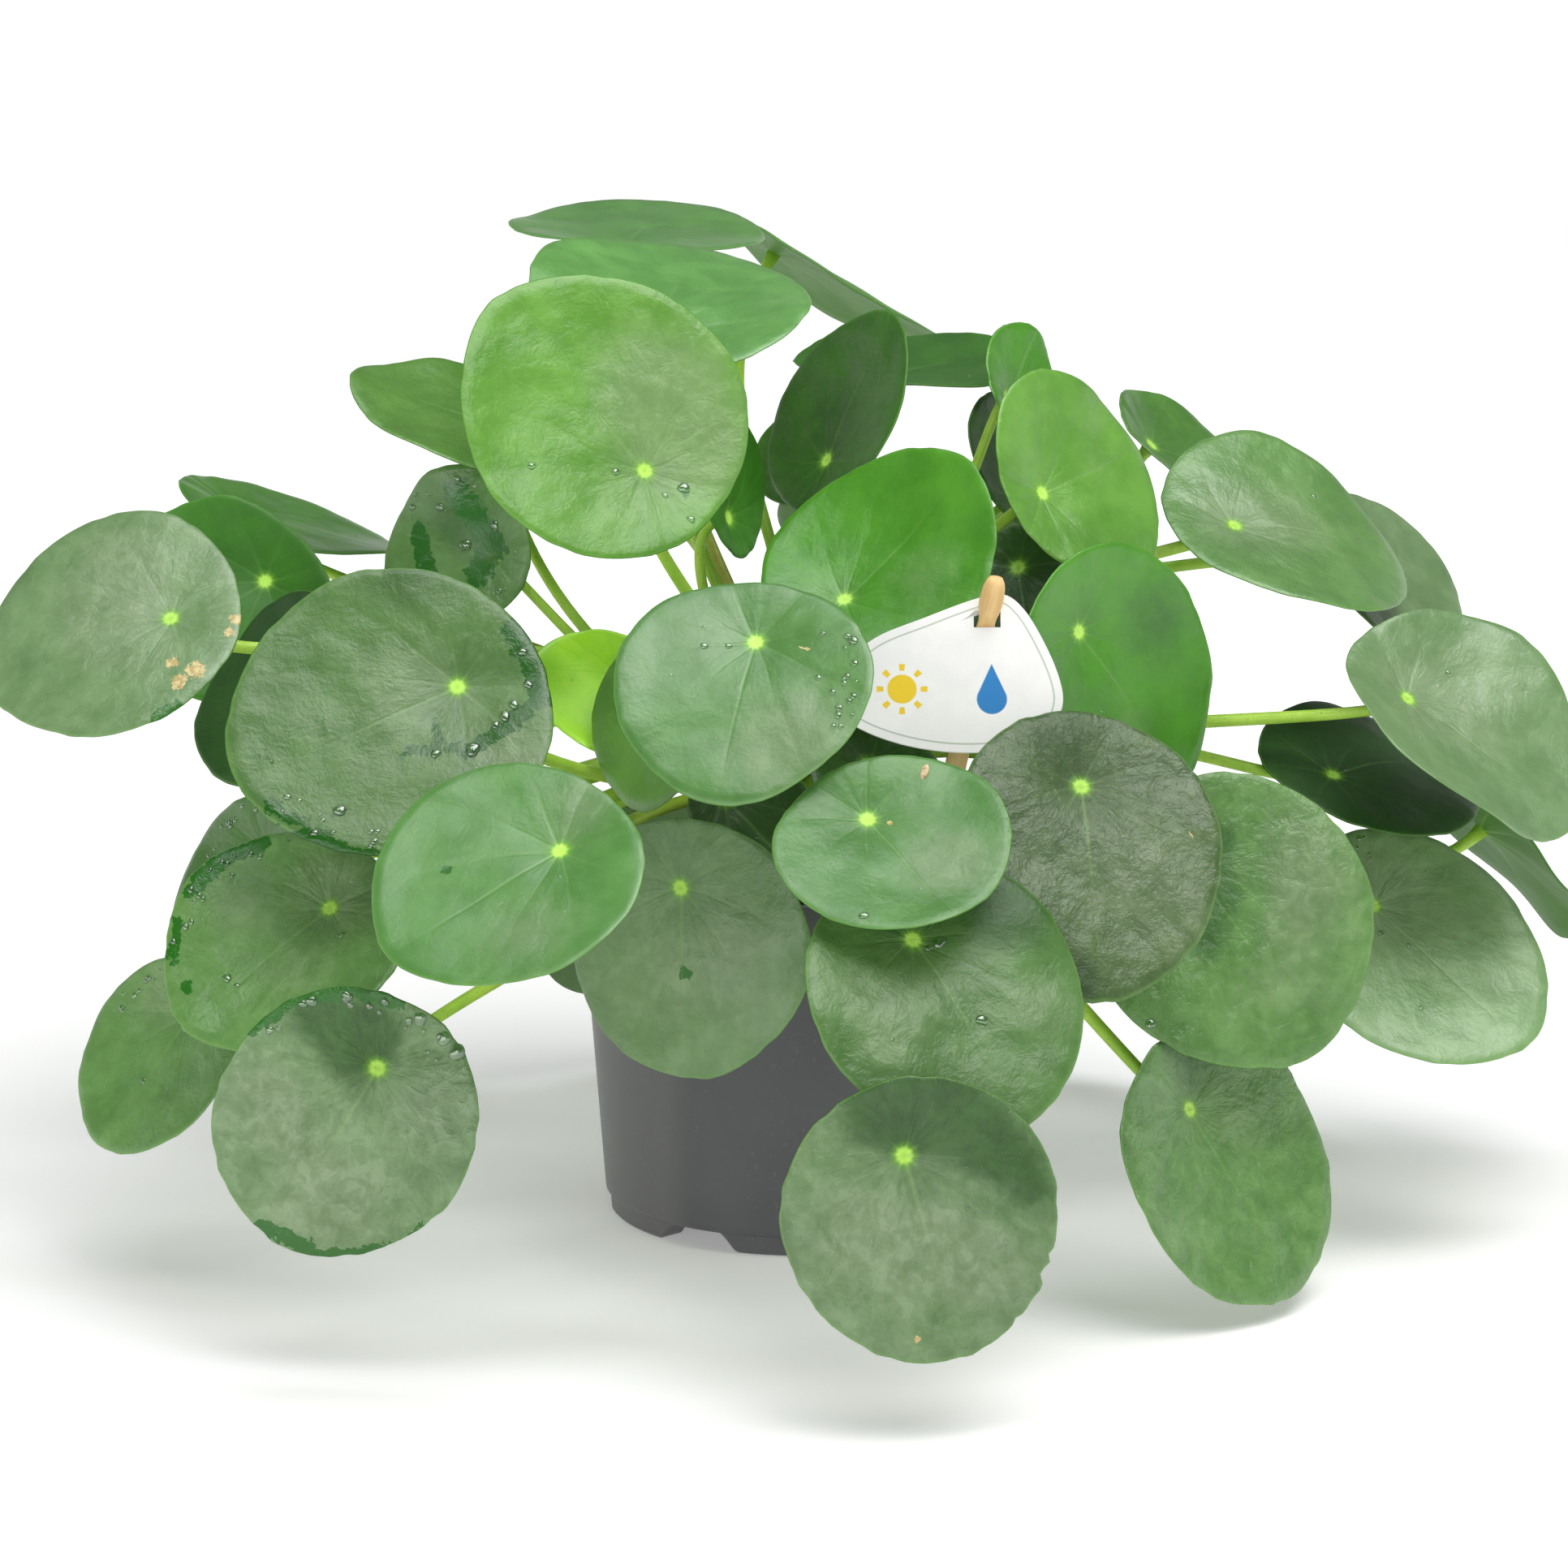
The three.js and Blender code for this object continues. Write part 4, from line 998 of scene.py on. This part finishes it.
def build_pot(material):
    """The shell turned from its profile, with drain holes cut through its floor, and the feet."""
    h, low, base = POT["height"], POT["height"] - POT["rim_height"], POT["body_bottom"]
    foot, body, top, rim = (POT[k] for k in ("foot_radius", "bottom_radius", "top_radius", "rim_radius"))
    floor = base + POT["floor"]
    inner = pot_inner_radius(floor)
    profile = [
        # under the floor, round the bottom edge and up the wall
        (0.4, base), (foot - POT["foot_width"] - 0.3, base), (foot - 0.6, base + 0.5),
        (foot - 0.2, base + 0.2), (body - 1.2, base - 0.05), (body - 0.5, base + 0.1), (body, base + 0.7),
        (body + 0.1, base + 2.0), (top - 0.1, low - 1.2), (top + 0.1, low - 0.35), (top + 0.5, low),
        # over the rim
        (rim - 0.5, low), (rim - 0.1, low + 0.2), (rim, low + 0.8), (rim, h - 1.3), (rim - 0.15, h - 0.6),
        (rim - 0.6, h - 0.1), (rim - 1.0, h), (rim - 1.4, h - 0.15), (rim - 1.6, h - 0.6),
        # down the inside to the floor
        (rim - 1.65, h - 1.5), (rim - 1.65, low + 3.2), (top - POT["wall"], low), (inner - 0.1, floor + 1),
        (inner - 1.2, floor), (0.4, floor),
    ]
    points = np.array([(r * math.cos(a), r * math.sin(a), z) for r, z in profile for a in circle(240)])
    faces = loft_faces(len(profile), 240)
    shell = make_piece("pot_shell", points, faces, material, ["pot"], "pot_plastic", auto=40)
    # drain holes through the floor, halfway between the gaps of the foot ring
    cutters = Skin()
    step = 360 / POT["feet"]
    for i in range(POT["feet"]):
        out = POT["drain_circle"] * direction(POT["first_gap"] + step * (i + 0.5), 0)
        cutters.add(*tube([out + [0, 0, 2.0], out + [0, 0, 10.0]], [POT["drain_radius"]] * 2, 32))
    cutter = cutters.piece("drain_cutter", material)
    cut = shell.modifiers.new("drains", "BOOLEAN")
    cut.operation, cut.solver, cut.object = "DIFFERENCE", "EXACT", cutter
    bpy.context.view_layer.update()
    done = bpy.data.meshes.new_from_object(shell.evaluated_get(bpy.context.evaluated_depsgraph_get()))
    shell.modifiers.clear()
    shell.data = done
    bpy.data.objects.remove(cutter)
    build_feet(material)


def build_feet(material):
    """The foot ring, parted into feet with sloped ends and rounded corners."""
    skin = Skin()
    outer, inner = POT["foot_radius"], POT["foot_radius"] - POT["foot_width"] + 0.2
    high = POT["body_bottom"] + 0.3
    step = 360 / POT["feet"]
    half = math.degrees(math.asin(POT["gap_top"] / 2 / outer))
    slope = math.degrees(math.asin(POT["gap_bottom"] / 2 / outer)) - half
    end = slope + 1.5
    for i in range(POT["feet"]):
        low_a = POT["first_gap"] + step * i + half
        high_a = low_a + step - 2 * half
        middle = np.linspace(low_a + end, high_a - end, 40)[1:-1]
        ends = np.linspace(low_a, low_a + end, 14), np.linspace(high_a - end, high_a, 14)
        angles = np.concatenate([ends[0], middle, ends[1]])
        # a straight slope with soft corners
        t = np.clip(np.minimum(angles - low_a, high_a - angles) / (slope + 1.2), 0, 1)
        ground = high * (1 - np.clip(t * 1.12 - 0.03, 0, 1))
        ground = np.convolve(np.pad(ground, 2, mode="edge"), np.ones(5) / 5, mode="valid")
        ground = np.clip(ground - ground.min(), 0, high - 0.25)
        points = []
        for a, g in zip(angles, ground):
            soft = min(0.7, (high - g) / 3)
            inside = ((inner, high), (inner, g + soft), (inner + soft, g))
            section = (*inside, (outer - soft, g), (outer, g + soft), (outer, high))
            points += [direction(a, 0) * r + [0, 0, z] for r, z in section]
        skin.add(np.array(points), [tuple(reversed(f)) for f in loft_faces(len(angles), len(section))])
    skin.piece("pot_feet", material, ["pot"], "pot_plastic", auto=35)


# ------------------------------------------------------------------ tag


def smooth_loop(outline, count):
    """Points at even distance on a closed Catmull-Rom curve through the outline."""
    p = np.array(outline, float)
    t = np.linspace(0, 1, 24, endpoint=False)[:, None]
    dense = []
    for i in range(len(p)):
        a, b, c, d = (p[(i + k - 1) % len(p)] for k in range(4))
        bends = (2 * a - 5 * b + 4 * c - d) * t**2 + (3 * b - a - 3 * c + d) * t**3
        dense.append(0.5 * (2 * b + (c - a) * t + bends))
    closed = np.concatenate([*dense, dense[0][:1]])
    run = np.concatenate([[0], np.cumsum(np.linalg.norm(np.diff(closed, axis=0), axis=1))])
    at = np.linspace(0, run[-1], count, endpoint=False)
    return np.stack([np.interp(at, run, closed[:, k]) for k in range(2)], 1)


def build_card(material):
    """The card as loops from the slot out over the front, round the edge and back in over the back."""
    count = 144
    lean = math.radians(TAG["lean"])
    right, up = np.array([1.0, 0, 0]), np.array([0, math.sin(lean), math.cos(lean)])
    front = np.array([0, -math.cos(lean), math.sin(lean)])
    outline = smooth_loop(TAG["outline"], count)[::-1]
    # the slot's loop has its points at the outline's bearings from the slot's middle
    bearings = np.arctan2(outline[:, 1], outline[:, 0])
    slot = np.stack([np.cos(bearings), np.sin(bearings)], 1)
    slot /= np.max(np.abs(slot) / (np.array(TAG["slot_size"]) / 2), axis=1, keepdims=True)
    tangent = np.roll(outline, -1, 0) - np.roll(outline, 1, 0)
    inward = unit(np.stack([-tangent[:, 1], tangent[:, 0]], 1))
    half, far = TAG["thickness"] / 2, 9.0  # far: too far inside for the line along the edge
    insets = [0.0, 0.12, 0.4, 1.0, 1.8, 2.6, 4.0]
    loops = [outline + inward * d for d in insets]
    loops += [loops[-1] + (slot - loops[-1]) * s for s in (0.15, 0.3, 0.45, 0.6, 0.75, 0.9, 1.0)]
    insets += [far] * (len(loops) - len(insets))
    rings = [(loop, half, inset) for loop, inset in zip(loops[:0:-1], insets[:0:-1])]
    rings += [(outline, 0.55 * half, 0.0), (outline, -0.55 * half, far)]
    rings += [(loop, -half, far) for loop in loops[1:]]
    middle = np.array(TAG["slot"])
    points = [middle + loop[:, :1] * right + loop[:, 1:] * up + d * front for loop, d, _ in rings]
    # the back's spots lie far off the print, so that it stays bare
    spots = [np.column_stack([loop + [500 * (d < 0), 0], np.full(count, inset)]) for loop, d, inset in rings]
    faces = loft_faces(len(rings), count, closed_ends=False)
    last = (len(rings) - 1) * count
    faces += [(i, last + i, last + (i + 1) % count, (i + 1) % count) for i in range(count)]
    faces = [tuple(reversed(f)) for f in faces]
    make_piece("tag_face", np.concatenate(points), faces, material, ["tag_card"], "tag_card",
               {"spot": np.concatenate(spots)}, auto=35)


def build_stick(material):
    """The stick: flat in the soil and behind the card, round and barrel-shaped at its head."""
    foot, head = np.array(STICK["foot"]), np.array(STICK["head"])
    long = np.linalg.norm(head - foot)
    up = unit(head - foot)
    front = unit(np.cross([1.0, 0, 0], up))
    right = np.cross(up, front)
    wide, thick = STICK["size"][0] / 2, STICK["size"][1] / 2
    # (way up the stick, half width, half thickness over the flat part's)
    stations = [
        (0.0, 0.4, 0.8), (3, 1.6, 1), (6, wide, 1), (20, wide, 1), (long / 2, wide, 1), (long - 22, wide, 1),
        (long - 16, wide - 0.3, 1), (long - 13, wide - 0.6, 1.05), (long - 11.5, wide - 0.5, 1.3),
        (long - 10, wide - 0.1, 1.9), (long - 8, wide + 0.2, 2.3), (long - 5.5, wide + 0.25, 2.4),
        (long - 3.2, wide + 0.05, 2.3), (long - 1.6, wide - 0.35, 2.0), (long - 0.6, wide - 0.9, 1.5),
        (long - 0.1, wide - 1.7, 0.8),
    ]
    sides = 32
    cos, sin = np.cos(circle(sides)), np.sin(circle(sides))
    points, grain = [], []
    for at, w, swell in stations:
        power = 0.45 + 0.55 * np.clip((swell - 1.2) / 0.8, 0, 1)  # from a flat bar's section to a round one
        x = np.sign(cos) * np.abs(cos) ** power * w
        y = np.sign(sin) * np.abs(sin) ** power * swell * thick
        points.append(foot + at * up + x[:, None] * right + y[:, None] * front)
        grain.append(np.stack([x, y, np.full(sides, at * 0.06)], 1) * MM)
    make_piece("tag_peg", np.concatenate(points), loft_faces(len(stations), sides), material, ["tag_stick"],
               "tag_wood", {"grain": np.concatenate(grain)}, auto=50)


# ------------------------------------------------------------------ water and a fallen chip

# Drops of water, placed like the marks on blades: (leaf, right, uphill, radius in mm).
DROPS = (
    (1, -0.54, -0.34, 1.0), (1, 0.06, -0.38, 1.0), (1, 0.38, -0.56, 0.8), (1, 0.52, -0.52, 1.5),
    (1, 0.52, -0.75, 1.0), (21, -0.35, 0.37, 0.9), (21, -0.16, 0.40, 0.8), (21, 0.86, 0.42, 1.2),
    (21, 0.88, 0.20, 1.0), (21, 0.60, 0.08, 0.8), (21, 0.73, -0.06, 0.8), (21, 0.60, 0.50, 0.7),
    (25, 0.02, 0.39, 1.5), (25, -0.06, 0.36, 0.8), (25, 0.20, -0.22, 1.4), (25, 0.42, 0.85, 1.6),
    (23, -0.30, -0.86, 1.2), (16, -0.62, -0.68, 1.3), (15, -0.60, 0.55, 1.0), (15, -0.25, 0.15, 1.1),
    (15, -0.07, 0.02, 0.9), (15, -0.15, -0.50, 0.8), (28, 0.70, -0.02, 1.5), (28, 0.76, 0.06, 1.3),
    (28, 0.64, -0.08, 1.1), (28, 0.50, -0.25, 1.9), (28, 0.86, 0.20, 1.2), (28, 0.82, 0.42, 1.1),
    (28, 0.27, -0.27, 1.2), (28, -0.32, -0.65, 1.5), (36, -0.40, -0.36, 1.2), (36, -0.30, -0.42, 0.8),
    (36, 0.45, 0.10, 0.9), (38, 0.80, 0.52, 1.9), (38, 0.72, 0.62, 1.6), (38, 0.55, 0.76, 1.6),
    (38, -0.20, 0.90, 1.3), (38, 0.05, 0.93, 1.2), (37, 0.10, 0.30, 1.0), (37, -0.10, -0.30, 0.9),
    (32, 0.10, 0.05, 1.6), (32, -0.30, 0.50, 1.2), (32, 0.50, 0.30, 1.3), (32, -0.10, -0.50, 1.1),
    (11, 0.10, 0.20, 0.8), (10, 0.45, 0.30, 0.8), (12, 0.20, 0.50, 0.8), (33, 0.30, -0.60, 1.0),
)
# Stretches of rim with beads of water: leaf, and bearings in degrees, anticlockwise from the right.
WET_RIMS = {
    28: (200, 290), 36: (100, 190), 38: (35, 140), 37: (90, 170), 32: (0, 350), 35: (90, 180), 15: (100, 150),
    21: (330, 390),
}
RIM_BEADS, STRAY_BEADS = 16, 90


def drop_on(skin, leaf, right, up, size, tall=0.55):
    """A bead of water on a leaf."""
    index = leaf - 1
    row = LEAVES[index]
    place = mark_place(row, right, up)
    # the angle and the share of the way to the rim that give this place on the blade
    angles = np.linspace(-np.pi, np.pi, 181)
    _, p, q = blade_points(row, index, angles, np.array([1.0]), 0)
    bearing = np.unwrap(np.arctan2(q[0], p[0]))
    a = np.interp(math.atan2(place[1], place[0]), bearing, angles)
    share = min(np.hypot(*place) / np.interp(a, angles, np.hypot(p[0], q[0])), 0.96)
    near = blade_points(row, index, np.array([a, a + 0.02]), np.array([share, share + 0.01]))[0]
    centre = near[0, 0]
    u = unit(near[1, 0] - centre)
    normal = unit(np.cross(u, near[0, 1] - centre))
    if np.dot(normal, leaf_axes(row)[0]) < 0:
        normal = -normal
    v = np.cross(normal, u)
    turns = circle(16)
    wobble = 1 + 0.12 * np.sin(2 * turns + leaf) + 0.08 * np.sin(3 * turns + 5 * right)
    rings = []
    for lift in np.linspace(-0.35, 1.45, 8):
        flat_ring = wobble[:, None] * ring(turns, u, v)
        rings.append(centre + size * math.cos(lift) * flat_ring + size * tall * math.sin(lift) * normal)
    skin.add(np.concatenate(rings), loft_faces(len(rings), len(turns)))


def build_drops(material):
    skin = Skin()
    for leaf, right, up, size in DROPS:
        drop_on(skin, leaf, right, up, size)
    random = np.random.default_rng(5)
    for leaf, (low, high) in WET_RIMS.items():
        for _ in range(RIM_BEADS):
            a, out = math.radians(random.uniform(low, high)), random.uniform(0.80, 0.95)
            drop_on(skin, leaf, out * math.cos(a), out * math.sin(a), random.uniform(0.4, 1.0))
    for _ in range(STRAY_BEADS):
        leaf = int(random.integers(1, 46))
        drop_on(skin, leaf, random.uniform(-0.6, 0.6), random.uniform(-0.6, 0.6), random.uniform(0.2, 0.45))
    skin.piece("water_drops", material)


CHIP = {"leaf": 23, "place": (0.30, 0.86), "above": 2.6, "lie": (0.35, -0.1, 0.9)}


def build_chip(material):
    """A crumb of bark fallen on a leaf near the card."""
    row = LEAVES[CHIP["leaf"] - 1]
    p, q = mark_place(row, *CHIP["place"])
    normal, tip, across = leaf_axes(row)
    centre = np.array(row[:3]) + p * tip + q * across + CHIP["above"] * normal
    path = [centre + k * np.array(CHIP["lie"]) for k in (-2.8, -1.9, 0.0, 1.8, 2.6)]
    make_piece("bark_chip", *tube(path, [0.7, 1.6, 2.0, 1.5, 0.6], 9, 0.55, (1, 0, 0)), material)


# ------------------------------------------------------------------ stage, camera and lights

PITCH = math.radians(9.5)
DISTANCE, ASIDE, ABOVE = 1.0, -0.0053, 0.113
FOCAL_PIXELS, FRAME_PIXELS, SENSOR = 4540.0, 1932.0, 36.0
FLOOR = {"reach": 20.0, "cuts": 20, "below": 0.0002}
MIDDLE = (0, 0, 0.12)
# Name: place, what it faces, size, power, colour.
LIGHTS = {
    "bank": ((0.25, -0.5, 2.05), MIDDLE, (2.5, 0.9), 21, (1.0, 0.995, 0.98)),
    "key": ((0.65, -0.80, 1.85), MIDDLE, (1.2, 1.2), 18, (1.0, 0.995, 0.97)),
    "low": ((-0.8, -2.05, 0.42), (0, 0, 0.2), (2.8, 0.8), 16.5, (1.0, 0.985, 0.96)),
    "overhead": ((0.05, 0.20, 2.1), MIDDLE, (1.4, 0.4), 7, (0.92, 0.97, 1.0)),
}


def build_camera():
    forward = np.array([0, math.cos(PITCH), -math.sin(PITCH)])
    up = np.array([0, math.sin(PITCH), math.cos(PITCH)])
    data = bpy.data.cameras.new("camera")
    data.sensor_fit = "HORIZONTAL"
    data.sensor_width = SENSOR
    data.lens = FOCAL_PIXELS / FRAME_PIXELS * SENSOR
    data.clip_start, data.clip_end = 0.05, 50
    camera = add_object("camera", data)
    camera.location = Vector(POT_CENTRE - DISTANCE * forward + ASIDE * np.array([1.0, 0, 0]) + ABOVE * up)
    camera.rotation_euler = (math.pi / 2 - PITCH, 0, 0)
    bpy.context.scene.camera = camera


def build_lights():
    for name, (place, target, size, power, colour) in LIGHTS.items():
        data = bpy.data.lights.new(name, "AREA")
        data.shape = "RECTANGLE"
        data.size, data.size_y = size
        data.energy, data.color = power, colour
        light = add_object(name, data)
        light.location = place
        light.rotation_euler = (Vector(target) - Vector(place)).to_track_quat("-Z", "Y").to_euler()


def floor_material():
    """Pale floor that glows, more so further out, and so runs into the white round the horizon."""
    n = new_material("floor")
    tone = n.mix(n.ramp(n.noise(3, 2), 0.3, 0.7), (0.86, 0.86, 0.86), (0.885, 0.885, 0.885))
    away = n.fed(n.node("ShaderNodeVectorMath", operation="LENGTH"), (n.place(),), "Value")
    glow = n.ramp(away, 0.3, 1.6, 0.25, 0.8)
    return n.set(Base_Color=tone, Roughness=0.8, Emission_Color=(1, 1, 1), Emission_Strength=glow)


def studio_world():
    """White round the horizon, dimmer higher up and in front: glossy faces stay dark between the lights."""
    n = Nodes(bpy.data.worlds.new("studio"))
    _, y, z = n.parts(n.place("Generated"))
    fade, front = n.ramp(z, 0.08, 0.4, 1.05, 0.2), n.ramp(y, -0.8, -0.2, 0.45, 1.0)
    return n.set(Color=(1, 1, 1), Strength=fade * front)


def build_stage():
    line = np.linspace(-FLOOR["reach"], FLOOR["reach"], FLOOR["cuts"] + 1)
    points = [(x, y, -FLOOR["below"]) for y in line for x in line]
    wide = len(line)
    corners = [j * wide + i for j in range(wide - 1) for i in range(wide - 1)]
    mesh = bpy.data.meshes.new("floor")
    mesh.from_pydata(points, [], [(c, c + 1, c + wide + 1, c + wide) for c in corners])
    mesh.materials.append(floor_material())
    floor = add_object("floor", mesh)
    bpy.context.scene.world = studio_world()
    bpy.context.scene.view_settings.view_transform = "Standard"


# ------------------------------------------------------------------ the plant

build_camera()
build_stage()
build_lights()
leaf = leaf_material("leaf", 0.6, 0.4)
matt_leaf = leaf_material("leaf_matt", 0.45, 0.2)
stalk = stalk_material()
build_leaves(leaf, matt_leaf)
build_stalks(stalk)
build_trunk(trunk_material())
build_crown(leaf, stalk)
build_soil(soil_material())
build_pot(pot_material())
build_card(card_material())
build_stick(wood_material())
build_drops(water_material())
build_chip(chip_material())
